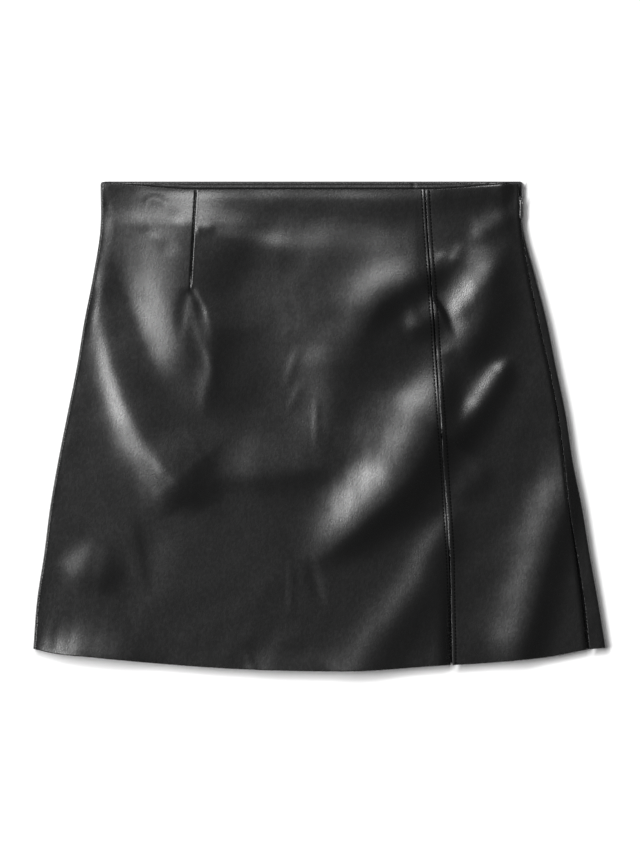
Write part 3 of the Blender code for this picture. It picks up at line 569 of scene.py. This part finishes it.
def under_z(x, edge, drop, level):
    """Height of the outer skin on the lower side, `edge` in from the fold."""
    half = lie("half_fold", level)
    width = np.where(x < 0.0, lie("left_width", level), lie("right_width", level))
    height = half - half * quarter_round(edge, width)
    lift = np.zeros(np.shape(x))
    for fold in BACK_CREASES:
        lift = lift + fold_height(fold, x, drop)
    return height + lift * smooth_step(edge / FOLD_MARGIN)


def unit(vectors):
    return vectors / np.linalg.norm(vectors, axis=-1, keepdims=True)


def place(x, drop, z):
    """Points of the part's frame, in mm, from x, drop and height."""
    return np.stack([x, LENGTH / 2.0 - drop, z], axis=-1)


def grid_normals(grid):
    """Unit normals of a grid whose rows run down the skirt: up where columns run to +x."""
    down = np.gradient(grid, axis=0, edge_order=2)
    across = np.gradient(grid, axis=1, edge_order=2)
    return unit(np.cross(down, across))


# ---------------- meshes
def add_object(name, data):
    obj = bpy.data.objects.new(name, data)
    bpy.context.scene.collection.objects.link(obj)
    return obj


def mesh_object(name, points, faces, materials, kinds=None):
    """A smooth piece from points in millimetres; `kinds` gives each face's material."""
    mesh = bpy.data.meshes.new(name)
    mesh.from_pydata((np.asarray(points) * MM).tolist(), [], [list(face) for face in faces])
    mesh.validate()
    for material in materials:
        mesh.materials.append(material)
    if kinds is not None:
        mesh.polygons.foreach_set("material_index", kinds)
    mesh.shade_smooth()
    return add_object(name, mesh)


def reach_from_edges(grid, sharp_left, sharp_right, sharp_top):
    """How far each point is from the grid's nearest border, along its row or column.

    A border that is sharper than the others counts as further away.
    """
    down = np.linalg.norm(np.diff(grid, axis=0), axis=2)
    across = np.linalg.norm(np.diff(grid, axis=1), axis=2)
    from_top = np.concatenate([np.zeros((1, grid.shape[1])), np.cumsum(down, axis=0)])
    from_left = np.concatenate([np.zeros((grid.shape[0], 1)), np.cumsum(across, axis=1)], axis=1)
    from_low = from_top[-1:] - from_top
    from_top = from_top * sharp_top
    from_right = (from_left[:, -1:] - from_left) * sharp_right
    from_left = from_left * sharp_left
    return np.minimum(np.minimum(from_top, from_low), np.minimum(from_left, from_right))


def shell(name, outer, wall, materials, inward=-1.0, turned_rows=None, sharp=(1.0, 1.0, 1.0)):
    """A closed thin shell on a grid of points, with rounded edges.

    `inward` is -1 where the grid's normals point out of the skirt and 1 where they point in.
    Faces of the inner side get the second material, but for the rows in `turned_rows`, where
    the leather itself is turned in. `sharp` says how much sharper than the lower border the
    left, right and top ones are.
    """
    rows, cols = outer.shape[:2]
    wall = np.asarray(wall, float)
    if wall.ndim:
        wall = wall[:, None, None]
    inner_way = grid_normals(outer) * inward
    middle = outer + inner_way * wall / 2.0
    radius = np.broadcast_to(EDGE_ROUND * wall / 2.0, outer.shape[:2] + (1,))[..., 0]
    share = quarter_round(reach_from_edges(outer, *sharp), radius)[..., None]
    upper = middle - inner_way * wall / 2.0 * share
    lower = middle + inner_way * wall / 2.0 * share
    index = np.arange(rows * cols).reshape(rows, cols)
    under = index.copy()
    under[1:-1, 1:-1] = rows * cols + np.arange((rows - 2) * (cols - 2)).reshape(rows - 2, cols - 2)
    points = np.concatenate([upper.reshape(-1, 3), lower[1:-1, 1:-1].reshape(-1, 3)])
    faces = []
    kinds = []
    for i in range(rows - 1):
        for j in range(cols - 1):
            a, b, c, d = index[i, j], index[i + 1, j], index[i + 1, j + 1], index[i, j + 1]
            e, f, g, h = under[i, j], under[i, j + 1], under[i + 1, j + 1], under[i + 1, j]
            if inward < 0:
                faces += [(a, b, c, d), (e, f, g, h)]
            else:
                faces += [(a, d, c, b), (e, h, g, f)]
            turned = turned_rows is not None and turned_rows[i]
            kinds += [0, 0 if turned else 1]
    return mesh_object(name, points, faces, materials, kinds)


def edge_shares(total):
    """Shares of a length, closer together at both ends."""
    head = np.array(EDGE_STEPS)
    count = int((total - 2.0 * head[-1]) / ROW_STEP)
    middle = np.linspace(head[-1], total - head[-1], count + 1)[1:-1]
    return np.concatenate([head, middle, total - head[::-1]]) / total


def spaced(start, end, step, head, tail):
    """Columns from `start` to `end`: fine offsets at both ends, even ones between."""
    left = start[:, None] + np.array(head)
    right = end[:, None] - np.array(tail[::-1])
    count = max(int(np.max(right[:, 0] - left[:, -1]) / step), 2)
    share = np.linspace(0.0, 1.0, count + 1)[1:-1]
    middle = left[:, -1:] + (right[:, :1] - left[:, -1:]) * share
    return np.concatenate([left, middle, right], axis=1)


def slit_half_gap(drop):
    """Half the gap along the panel seam, which opens into the slit."""
    seam = SEAM_GAP + (OPEN_SEAM - SEAM_GAP) * smooth_step((drop - SIDE_WAIST_DROP) / WAIST_SEWN)
    open_part = smooth_step((drop - SLIT_TOP) / (SIDE_HEM_DROP - SLIT_TOP))
    return 0.5 * (seam + (SLIT_GAP - OPEN_SEAM) * open_part)


def zip_half_gap(drop):
    """Half the gap along the right side seam, with the zip's opening at its top."""
    closed = smooth_step((drop - ZIP_OPEN_END + ZIP_CLOSE_RUN) / ZIP_CLOSE_RUN)
    opening = smooth_step((drop - SIDE_OPEN_START) / SIDE_OPEN_RUN)
    low = SIDE_SEAM + (SIDE_SEAM_LOW - SIDE_SEAM) * opening
    return 0.5 * (ZIP_OPEN_GAP + (low - ZIP_OPEN_GAP) * closed)


def main_columns(drop):
    left = line_x("left", drop) + LEFT_SEAM_INSET + SEAM_GAP
    dart = line_x("dart", drop)
    seam = line_x("panel", drop) - slit_half_gap(drop)
    first = spaced(left, dart, MAIN_STEP, FOLD_SIDE, (0.0,) + DART_SIDE)
    second = spaced(dart, seam, MAIN_STEP, DART_SIDE, SEAM_SIDE)
    return np.concatenate([first, second], axis=1)


def side_columns(drop):
    seam = line_x("panel", drop) + slit_half_gap(drop)
    right = line_x("seam", drop) - zip_half_gap(drop)
    return spaced(seam, right, SIDE_STEP, SEAM_SIDE, FOLD_SIDE)


def front_grid(columns):
    """A front panel's outer skin, its wall for each row, and the rows of its turned hem."""
    shares = edge_shares(SIDE_HEM_DROP - SIDE_WAIST_DROP)
    nominal = SIDE_WAIST_DROP + shares * (SIDE_HEM_DROP - SIDE_WAIST_DROP)
    x = columns(nominal)
    top = waist_drop(x[:1, :])
    bottom = hem_drop(x[-1:, :])
    drop = top + shares[:, None] * (bottom - top)
    waist = 1.0 - smooth_step((nominal - WAIST_TURN) / WAIST_TURN_RUN)
    hem = smooth_step((nominal - (SIDE_HEM_DROP - HEM_TURN)) / HEM_TURN_RUN)
    wall = WALL + (TURNED_WALL - WALL) * np.maximum(waist, hem)
    return place(x, drop, top_z(x, drop)), wall, nominal > SIDE_HEM_DROP - HEM_TURN


def back_shares():
    """Columns of the back as (part, share): up the left fold, under, and over the right."""
    cols = [("left_top", f) for f in LEFT_STRIP]
    cols += [("left_under", f) for f in np.linspace(0.0, 1.0, BACK_FOLD_COLUMNS)]
    cols += [("flat", f) for f in np.linspace(0.0, 1.0, BACK_FLAT_COLUMNS)[1:-1]]
    cols += [("right_under", f) for f in np.linspace(1.0, 0.0, BACK_FOLD_COLUMNS)]
    right_top = np.concatenate([np.linspace(0.0, 1.0, RIGHT_STRIP_COLUMNS), RIGHT_STRIP_END])
    cols += [("right_top", f) for f in np.sqrt(np.sort(right_top))[1:]]
    return cols


def back_grid():
    """The back's outer skin, and the rows of its turned hem."""
    shares = edge_shares(SIDE_HEM_DROP)
    level = shares * SIDE_HEM_DROP
    left = line_x("left", level)
    right = line_x("right", level)
    left_width = lie("left_width", level)
    right_width = lie("right_width", level)
    strip = right - line_x("seam", level) - zip_half_gap(level)
    flat = right - left - left_width - right_width
    folds = {"left_top": (left, LEFT_SEAM_INSET), "left_under": (left, left_width),
             "right_under": (right, -right_width), "right_top": (right, -strip)}
    columns = []
    for part, share in back_shares():
        if part == "flat":
            x = left + left_width + flat * share
        else:
            x = folds[part][0] + folds[part][1] * share ** 2
        middle = math.sin(math.pi * (x[-1] - left[-1]) / (right[-1] - left[-1]))
        hem = hem_drop(x[-1]) - BACK_HEM_SHORT * max(middle, 0.0)
        corner = np.clip(CORNER_RADIUS - min(x[0] - left[0], right[0] - x[0]), 0.0, None)
        top = CORNER_RADIUS - np.sqrt(CORNER_RADIUS ** 2 - corner ** 2)
        drop = top + shares * (hem - top)
        if part.endswith("top"):
            z = top_z(x, drop)
        else:
            z = under_z(x, np.minimum(x - left, right - x), drop, level)
        columns.append(place(x, drop, z))
    return np.stack(columns, axis=1), level > SIDE_HEM_DROP - HEM_TURN


# ---------------- stitches
def surface_frame(x, drop):
    """A point on the front's skin and its normal."""
    step = SLOPE_STEP
    xs = np.array([x, x - step, x + step, x, x])
    drops = np.array([drop, drop, drop, drop - step, drop + step])
    z = top_z(xs, drops)
    slope_x = (z[2] - z[1]) / (2 * step)
    slope_drop = (z[4] - z[3]) / (2 * step)
    return place(x, drop, z[0]), unit(np.array([-slope_x, slope_drop, 1.0]))


def ring_points(centre, across, over, radius, sides):
    angles = [2.0 * math.pi * k / sides for k in range(sides)]
    return [centre + (across * math.cos(a) + over * math.sin(a)) * radius for a in angles]


def ring_faces(base, rings, sides):
    """Faces of a tube of rings of points, closed at both ends, all looking outwards."""
    faces = []
    for ring in range(rings - 1):
        low = base + ring * sides
        for k in range(sides):
            j = (k + 1) % sides
            faces.append((low + k, low + sides + k, low + sides + j, low + j))
    last = base + (rings - 1) * sides
    faces.append(tuple(range(base, base + sides)))
    faces.append(tuple(reversed(range(last, last + sides))))
    return faces


def stitch_mesh(name, stitches, radius, material):
    """Threads: each stitch is (start, end, normal), arched a little over the cloth."""
    points = []
    faces = []
    for start, end, normal in stitches:
        along = end - start
        across = unit(np.cross(along, normal))
        faces += ring_faces(len(points), len(STITCH_RINGS), THREAD_SIDES)
        for ring in STITCH_RINGS:
            centre = start + along * ring.share + normal * (ring.rise * radius)
            points += ring_points(centre, across, normal, radius * ring.girth, THREAD_SIDES)
    return mesh_object(name, points, faces, [material])


def stitches_along(start, end, length, pitch, point_at):
    """Stitches (start, end, normal), where point_at gives the point and normal at a place."""
    stitches = []
    while start + length < end:
        (head, head_up), (tail, tail_up) = point_at(start), point_at(start + length)
        stitches.append((head, tail, unit(head_up + tail_up)))
        start = start + pitch
    return stitches


def seam_stitches(toward):
    """A row of topstitches beside the panel seam, from the waist to the hem."""
    def point_at(drop):
        return surface_frame(line_x("panel", drop) + toward * stitch_offset(drop, toward), drop)

    x = line_x("panel", ROW_TOP) + toward * STITCH_OFFSET
    start = waist_drop(x) + STITCH_START
    return stitches_along(start, hem_drop(x) - STITCH_END, STITCH_LENGTH, STITCH_PITCH, point_at)


def facing_z(x, drop):
    """Height of the facing's visible side: level, then swelling, with a dip at the front's edge."""
    front = waist_drop(x)
    rise = FACING_SWELL * smooth_step((drop - FACING_SWELL_START * front) / (FACING_SWELL_RUN * front))
    rise = rise - FACING_DIP * smooth_step((drop - front + FACING_DIP_WIDTH) / FACING_DIP_WIDTH)
    join = np.zeros(np.shape(x))
    for join_x in FACING_JOINS:
        join = join - JOIN_DEPTH * bell(x - join_x, JOIN_WIDTH)
    return WALL + SEAM_GAP + FACING_WALL + rise + join


def facing_stitches():
    """A row of small stitches along the facing's upper edge."""
    drop = FACING_TOP + FACING_ROW

    def point_at(x):
        return place(x, drop, facing_z(x, drop) - FACING_THREAD_SUNK), np.array([0.0, 0.0, 1.0])

    start = line_x("left", 0.0) + FACING_INSET + FACING_ROW_INSET
    end = line_x("right", 0.0) - FACING_ZIP_INSET - FACING_ROW_INSET
    return stitches_along(start, end, FACING_STITCH, FACING_PITCH, point_at)


# ---------------- the zip
def seam_frame(drop):
    """A point on the zip's seam, the way across it and the way out of the skin."""
    x = line_x("seam", drop)
    xs = np.array([x, x - SEAM_SLOPE_STEP, x + SEAM_SLOPE_STEP])
    here, low, high = top_z(xs, np.full(3, drop), seams=False)
    out = unit(np.array([-(high - low) / (2.0 * SEAM_SLOPE_STEP), 0.0, 1.0]))
    side = np.array([out[2], 0.0, -out[0]])
    return place(x, drop, here), side, out


def skin_section(x, drop):
    at = np.full(x.shape, drop)
    return place(x, at, top_z(x, at, seams=False))


def section_from_seam(drop, toward_back):
    """The skin from the zip's seam on: over the front, or round the right fold and under."""
    seam = line_x("seam", drop)
    if not toward_back:
        return skin_section(seam - np.linspace(0.0, TAPE_REACH, SECTION_POINTS), drop)
    right = line_x("right", drop)
    upper = skin_section(right - (right - seam) * np.linspace(1.0, 0.0, SECTION_POINTS_BACK) ** 2, drop)
    edge = TAPE_REACH_BACK * np.linspace(0.0, 1.0, SECTION_POINTS_BACK)[1:] ** 2
    at = np.full(edge.shape, drop)
    half = lie("half_fold", at)
    lower = place(right - edge, at, half - half * quarter_round(edge, lie("zip_width", at)))
    return np.concatenate([upper, lower])


def run_length(points):
    return np.concatenate([[0.0], np.cumsum(np.linalg.norm(np.diff(points, axis=0), axis=1))])


def fine_ended(count):
    """Even shares from 0 to 1, with a few more at both ends."""
    return np.sort(np.concatenate([np.linspace(0.0, 1.0, count), FINE_ENDS]))


def tape_grid(toward_back, start):
    """The outer face of a zip tape, in under the panel's wall."""
    rows = []
    for drop in np.linspace(ZIP_TOP, ZIP_TOP + ZIP_LENGTH, TAPE_ROWS):
        pts = section_from_seam(drop, toward_back)
        tangent = np.gradient(pts, axis=0)
        inward = unit(np.stack([tangent[:, 2], np.zeros(len(pts)), -tangent[:, 0]], axis=1))
        inward *= 1.0 if toward_back else -1.0
        near = pts + inward * (TURNED_WALL + SEAM_GAP)
        run = run_length(near)
        at = np.interp(start, run_length(pts), run) + TAPE_WIDTH * fine_ended(TAPE_COLUMNS)
        rows.append(np.stack([np.interp(at, run, near[:, k]) for k in range(3)], axis=1))
    return np.stack(rows)


def coil_points():
    """The centre line of the nylon coil: one loop after another along the seam."""
    count = int(ZIP_LENGTH / COIL_PITCH * COIL_TURN_POINTS)
    radius = 0.5 * COIL_WIDTH - COIL_SIDE_INSET
    drops = np.linspace(ZIP_TOP + COIL_END_INSET, ZIP_TOP + ZIP_LENGTH - COIL_END_INSET, COIL_FRAMES)
    place_on, side, out = (np.array(column) for column in zip(*map(seam_frame, drops)))
    sunk = SIDE_ROLL * smooth_step((drops - SLIDER_DROP - COIL_SINK_START) / COIL_SINK_RUN)
    base = place_on - out * (COIL_DEPTH + sunk + COIL_HEIGHT * COIL_LEVEL)[:, None]
    points = []
    for k in range(count + 1):
        drop = drops[0] + (drops[-1] - drops[0]) * k / count
        angle = 2.0 * math.pi * k / COIL_TURN_POINTS
        centre, across, up = (np.array([np.interp(drop, drops, way[:, c]) for c in range(3)])
                              for way in (base, side, out))
        points.append(centre + across * (radius * math.cos(angle)) + up * (COIL_RISE * math.sin(angle)))
    return np.array(points)


def tube_mesh(name, line, radius, sides, material):
    """A round tube along a line of points, closed at both ends."""
    tangent = unit(np.gradient(line, axis=0))
    up = np.array([0.3, 0.1, 1.0])  # a way in which the line never runs
    points = []
    for centre, way in zip(line, tangent):
        across = unit(np.cross(way, up))
        points += ring_points(centre, across, np.cross(across, way), radius, sides)
    return mesh_object(name, points, ring_faces(0, len(line), sides), [material])


# ---------------- materials
NOISE_ROUGHNESS = 0.55
NOISE_LOW = 0.3         # between these a noise takes a roughness from its low to its high
NOISE_HIGH = 0.7
MIX_FIRST, MIX_SECOND, MIX_RESULT = 6, 7, 2     # a Mix node's colour sockets


def set_inputs(node, **values):
    """Set a node's inputs by name, with an underscore for each space."""
    for name, value in values.items():
        node.inputs[name.replace("_", " ")].default_value = value


class Nodes:
    """Short calls to wire a material. Scales are one number or one each for x, y and z."""

    def __init__(self, name, **shader_values):
        self.material = bpy.data.materials.new(name)
        self.material.use_nodes = True
        self.tree = self.material.node_tree
        self.shader = self.tree.nodes["Principled BSDF"]
        set_inputs(self.shader, **shader_values)
        self.coords = self.add("ShaderNodeTexCoord").outputs["Object"]
        self.relief = None

    def add(self, kind, **settings):
        node = self.tree.nodes.new(kind)
        for key, value in settings.items():
            setattr(node, key, value)
        return node

    def link(self, out, socket):
        self.tree.links.new(out, socket)

    def texture(self, kind, scale, **settings):
        """A texture on the piece's own coordinates."""
        mapping = self.add("ShaderNodeMapping")
        set_inputs(mapping, Scale=scale if isinstance(scale, tuple) else (scale,) * 3)
        self.link(self.coords, mapping.inputs["Vector"])
        node = self.add(kind, **settings)
        set_inputs(node, Scale=1.0)
        self.link(mapping.outputs["Vector"], node.inputs["Vector"])
        return node

    def noise(self, scale, detail):
        node = self.texture("ShaderNodeTexNoise", scale)
        set_inputs(node, Detail=detail, Roughness=NOISE_ROUGHNESS)
        return node.outputs["Fac"]

    def cells(self, scale):
        return self.texture("ShaderNodeTexVoronoi", scale).outputs["Distance"]

    def wave(self, scale, direction, distortion=0.0):
        node = self.texture("ShaderNodeTexWave", scale, wave_type="BANDS", bands_direction=direction)
        set_inputs(node, Distortion=distortion)
        return node.outputs["Fac"]

    def vary_color(self, value, dark, light):
        node = self.add("ShaderNodeMix", data_type="RGBA")
        node.inputs[MIX_FIRST].default_value = (*dark, 1.0)
        node.inputs[MIX_SECOND].default_value = (*light, 1.0)
        self.link(value, node.inputs[0])
        self.link(node.outputs[MIX_RESULT], self.shader.inputs["Base Color"])

    def vary_roughness(self, value, low, high):
        node = self.add("ShaderNodeMapRange")
        set_inputs(node, From_Min=NOISE_LOW, From_Max=NOISE_HIGH, To_Min=low, To_Max=high)
        self.link(value, node.inputs["Value"])
        self.link(node.outputs["Result"], self.shader.inputs["Roughness"])

    def bump(self, value, height):
        """Raise the surface by a texture, on top of the bumps that it has already."""
        node = self.add("ShaderNodeBump")
        set_inputs(node, Strength=1.0, Distance=height)
        self.link(value, node.inputs["Height"])
        if self.relief is not None:
            self.link(self.relief, node.inputs["Normal"])
        self.relief = node.outputs["Normal"]
        self.link(self.relief, self.shader.inputs["Normal"])


def leather_material():
    """Satin black imitation leather with a fine, slightly stretched grain."""
    n = Nodes("black_leather", Roughness=0.27, IOR=1.65)
    n.vary_color(n.noise((38, 24, 38), 4), dark=(0.0044, 0.0045, 0.0047), light=(0.0062,) * 3)
    n.vary_roughness(n.noise((420, 260, 420), 2), 0.25, 0.29)
    n.bump(n.noise((120, 60, 120), 2), 0.00004)
    n.bump(n.noise((760, 560, 760), 1), 0.00005)
    n.bump(n.cells((1500, 1100, 1500)), 0.00003)
    return n.material


def backing_material():
    """The leather's knitted fabric backing, seen inside the skirt."""
    n = Nodes("black_backing", Roughness=0.9, Sheen_Weight=0.15)
    n.vary_color(n.noise(300, 3), dark=(0.010, 0.010, 0.011), light=(0.022, 0.022, 0.024))
    n.bump(n.wave(260, "X", 2.0), 0.00012)
    return n.material


def thread_material():
    n = Nodes("black_thread", Roughness=0.85, Specular_IOR_Level=0.05)
    n.vary_color(n.noise(900, 2), dark=(0.002,) * 3, light=(0.005,) * 3)
    n.bump(n.wave(700, "DIAGONAL"), 0.00008)
    return n.material


def tape_material():
    """Woven polyester tape."""
    n = Nodes("black_tape", Roughness=0.85)
    n.vary_color(n.noise(500, 2), dark=(0.007, 0.007, 0.008), light=(0.014, 0.014, 0.015))
    n.bump(n.wave(420, "DIAGONAL", 0.6), 0.0001)
    return n.material


def nylon_material():
    n = Nodes("black_nylon", Roughness=0.3)
    n.vary_color(n.noise(300, 2), dark=(0.020,) * 3, light=(0.034,) * 3)
    n.vary_roughness(n.noise(600, 2), 0.2, 0.3)
    return n.material


def metal_material():
    """Dark grey enamel on metal, rubbed a little in random patches."""
    n = Nodes("dark_metal", Metallic=0.75, Roughness=0.3)
    n.vary_color(n.noise(420, 4), dark=(0.10, 0.10, 0.102), light=(0.22,) * 3)
    n.vary_roughness(n.noise(900, 3), 0.2, 0.32)
    n.bump(n.noise(1300, 2), 0.00003)
    return n.material


def floor_material():
    n = Nodes("pale_floor", Roughness=0.8)
    n.vary_color(n.noise(3, 2), dark=(0.955,) * 3, light=(0.965,) * 3)
    return n.material


# ---------------- making the pieces
leather = leather_material()
backing = backing_material()
thread = thread_material()
tape = tape_material()
nylon = nylon_material()
metal = metal_material()


def flat_area(grid):
    """Area in square metres of a grid's surface, with two triangles to a cell."""
    low, right = grid[1:, :-1], grid[:-1, 1:]
    first, second = (np.linalg.norm(np.cross(low - corner, right - corner), axis=2)
                     for corner in (grid[:-1, :-1], grid[1:, 1:]))
    return 0.5 * float((first + second).sum()) * MM * MM


def longest_run(grid, axis):
    """Length in metres of a grid's longest row (axis 1) or column (axis 0)."""
    return float(np.linalg.norm(np.diff(grid, axis=axis), axis=2).sum(axis=axis).max()) * MM


def ride_on_skirt(obj):
    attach(obj, "skirt")
    return obj


def declare(obj, grid, node):
    """Let a cloth piece ride on the skirt and hide the part that it stands for; the sizes of the cloth it
    was cut from are worked out but not kept.
    """
    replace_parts(ride_on_skirt(obj), node)
    round(longest_run(grid, 1), 4)
    round(longest_run(grid, 0), 4)
    round(flat_area(grid), 5)


def stitch_row(name, stitches, radius=THREAD_RADIUS):
    return ride_on_skirt(stitch_mesh(name, stitches, radius, thread))


def front_piece(name, columns, sharp):
    grid, wall, turned = front_grid(columns)
    return shell(name, grid, wall, [leather, backing], turned_rows=turned, sharp=sharp), grid


def make_cloth():
    main_panel, main_grid = front_piece("front_main_cloth", main_columns, (1.0, 1.0, PRESSED))
    main_row = stitch_row("seam_stitches_main", seam_stitches(-1.0))
    side_panel, side_grid = front_piece("front_side_cloth", side_columns, (PRESSED, 1.0, PRESSED))
    side_row = stitch_row("seam_stitches_side", seam_stitches(1.0))
    back, turned = back_grid()
    back_panel = shell("back_cloth", back, WALL, [leather, backing], 1.0, turned, (1.0, PRESSED, 1.0))
    declare(back_panel, back, "back_panel")
    declare(main_panel, main_grid, "front_main")
    declare(side_panel, side_grid, "front_side")


def make_facing():
    drops = FACING_TOP + (FACING_DEPTH - FACING_TOP) * fine_ended(FACING_ROWS)
    left = line_x("left", drops) + FACING_INSET
    right = line_x("right", drops) - FACING_ZIP_INSET
    x = left[:, None] + (right - left)[:, None] * fine_ended(FACING_COLUMNS)
    drop = np.broadcast_to(drops[:, None], x.shape)
    grid = place(x, drop, facing_z(x, drop))
    facing = shell("facing_cloth", grid, FACING_WALL, [leather, backing])
    row = stitch_row("facing_stitches", facing_stitches(), FACING_THREAD)
    declare(facing, grid, "facing_back")


def make_zip():
    for side, toward_back, start, lies_on in (("front", False, TAPE_START_FRONT, "front_side_cloth"),
                                              ("back", True, TAPE_START_BACK, "back_cloth")):
        grid = tape_grid(toward_back, start)
        inward = -1.0 if toward_back else 1.0
        piece = shell(f"zip_tape_{side}_cloth", grid, TAPE_WALL, [tape, tape], inward)
        declare(piece, grid, f"zip_tape_{side}")
    coil = tube_mesh("zip_coil_teeth", coil_points(), COIL_WIRE, COIL_SIDES, nylon)
    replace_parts(ride_on_skirt(coil), "zip_coil")
    for node in ("zip_slider", "zip_pull"):
        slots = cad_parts[node].data.materials
        slots.clear()
        slots.append(metal)


# ---------------- floor, light, camera, in metres
FLOOR_REACH = 4.0       # from its middle to each side
FLOOR_SUNK = 0.0002     # how far it lies under the skirt
# Where each softbox stands (degrees round from +X and down from +Z), its size and its watts
Softbox = namedtuple("Softbox", "name azimuth zenith distance width depth watts")
SOFTBOXES = table(
    Softbox,
    ("key", 158.0, 33.0, 9.0, 7.9, 2.05, 1035.0),
    ("top", 98.0, 34.0, 9.0, 3.06, 2.05, 211.0),
)
ROOM_LIGHT = 0.06
CAMERA_HEIGHT = 8.0
CAMERA_RANGE = 40.0
SKIN_HEIGHT = 0.003     # where the skin lies, at the picture's scale
PICTURE_ROWS = 853
ROW_SIZE = 0.861        # millimetres of the skin in one row of the picture


def make_floor():
    corners = np.array([(-1, -1, 0), (1, -1, 0), (1, 1, 0), (-1, 1, 0)]) * FLOOR_REACH / MM
    floor = mesh_object("floor", corners, [range(4)], [floor_material()])
    floor.location.z = -FLOOR_SUNK


def make_softbox(box):
    a = math.radians(box.azimuth)
    z = math.radians(box.zenith)
    spot = Vector((math.sin(z) * math.cos(a), math.sin(z) * math.sin(a), math.cos(z))) * box.distance
    light = bpy.data.lights.new(box.name, "AREA")
    light.shape = "RECTANGLE"
    light.size = box.width
    light.size_y = box.depth
    light.energy = box.watts
    obj = add_object(box.name, light)
    obj.location = spot
    obj.rotation_euler = (-spot).to_track_quat("-Z", "Y").to_euler()
    obj.visible_camera = False


def make_room_light():
    world = bpy.data.worlds.new("studio")
    world.use_nodes = True
    set_inputs(world.node_tree.nodes["Background"], Color=(1.0, 1.0, 1.0, 1.0), Strength=ROOM_LIGHT)
    bpy.context.scene.world = world


def make_camera():
    data = bpy.data.cameras.new("camera")
    data.sensor_fit = "VERTICAL"
    data.angle = 2.0 * math.atan(PICTURE_ROWS * ROW_SIZE * MM / 2.0 / (CAMERA_HEIGHT - SKIN_HEIGHT))
    data.clip_end = CAMERA_RANGE
    camera = add_object("camera", data)
    camera.location = (0.0, 0.0, CAMERA_HEIGHT)
    bpy.context.scene.camera = camera


make_camera()
make_cloth()
make_facing()
make_zip()
make_floor()
for softbox in SOFTBOXES:
    make_softbox(softbox)
make_room_light()
bpy.context.scene.view_settings.view_transform = "Standard"
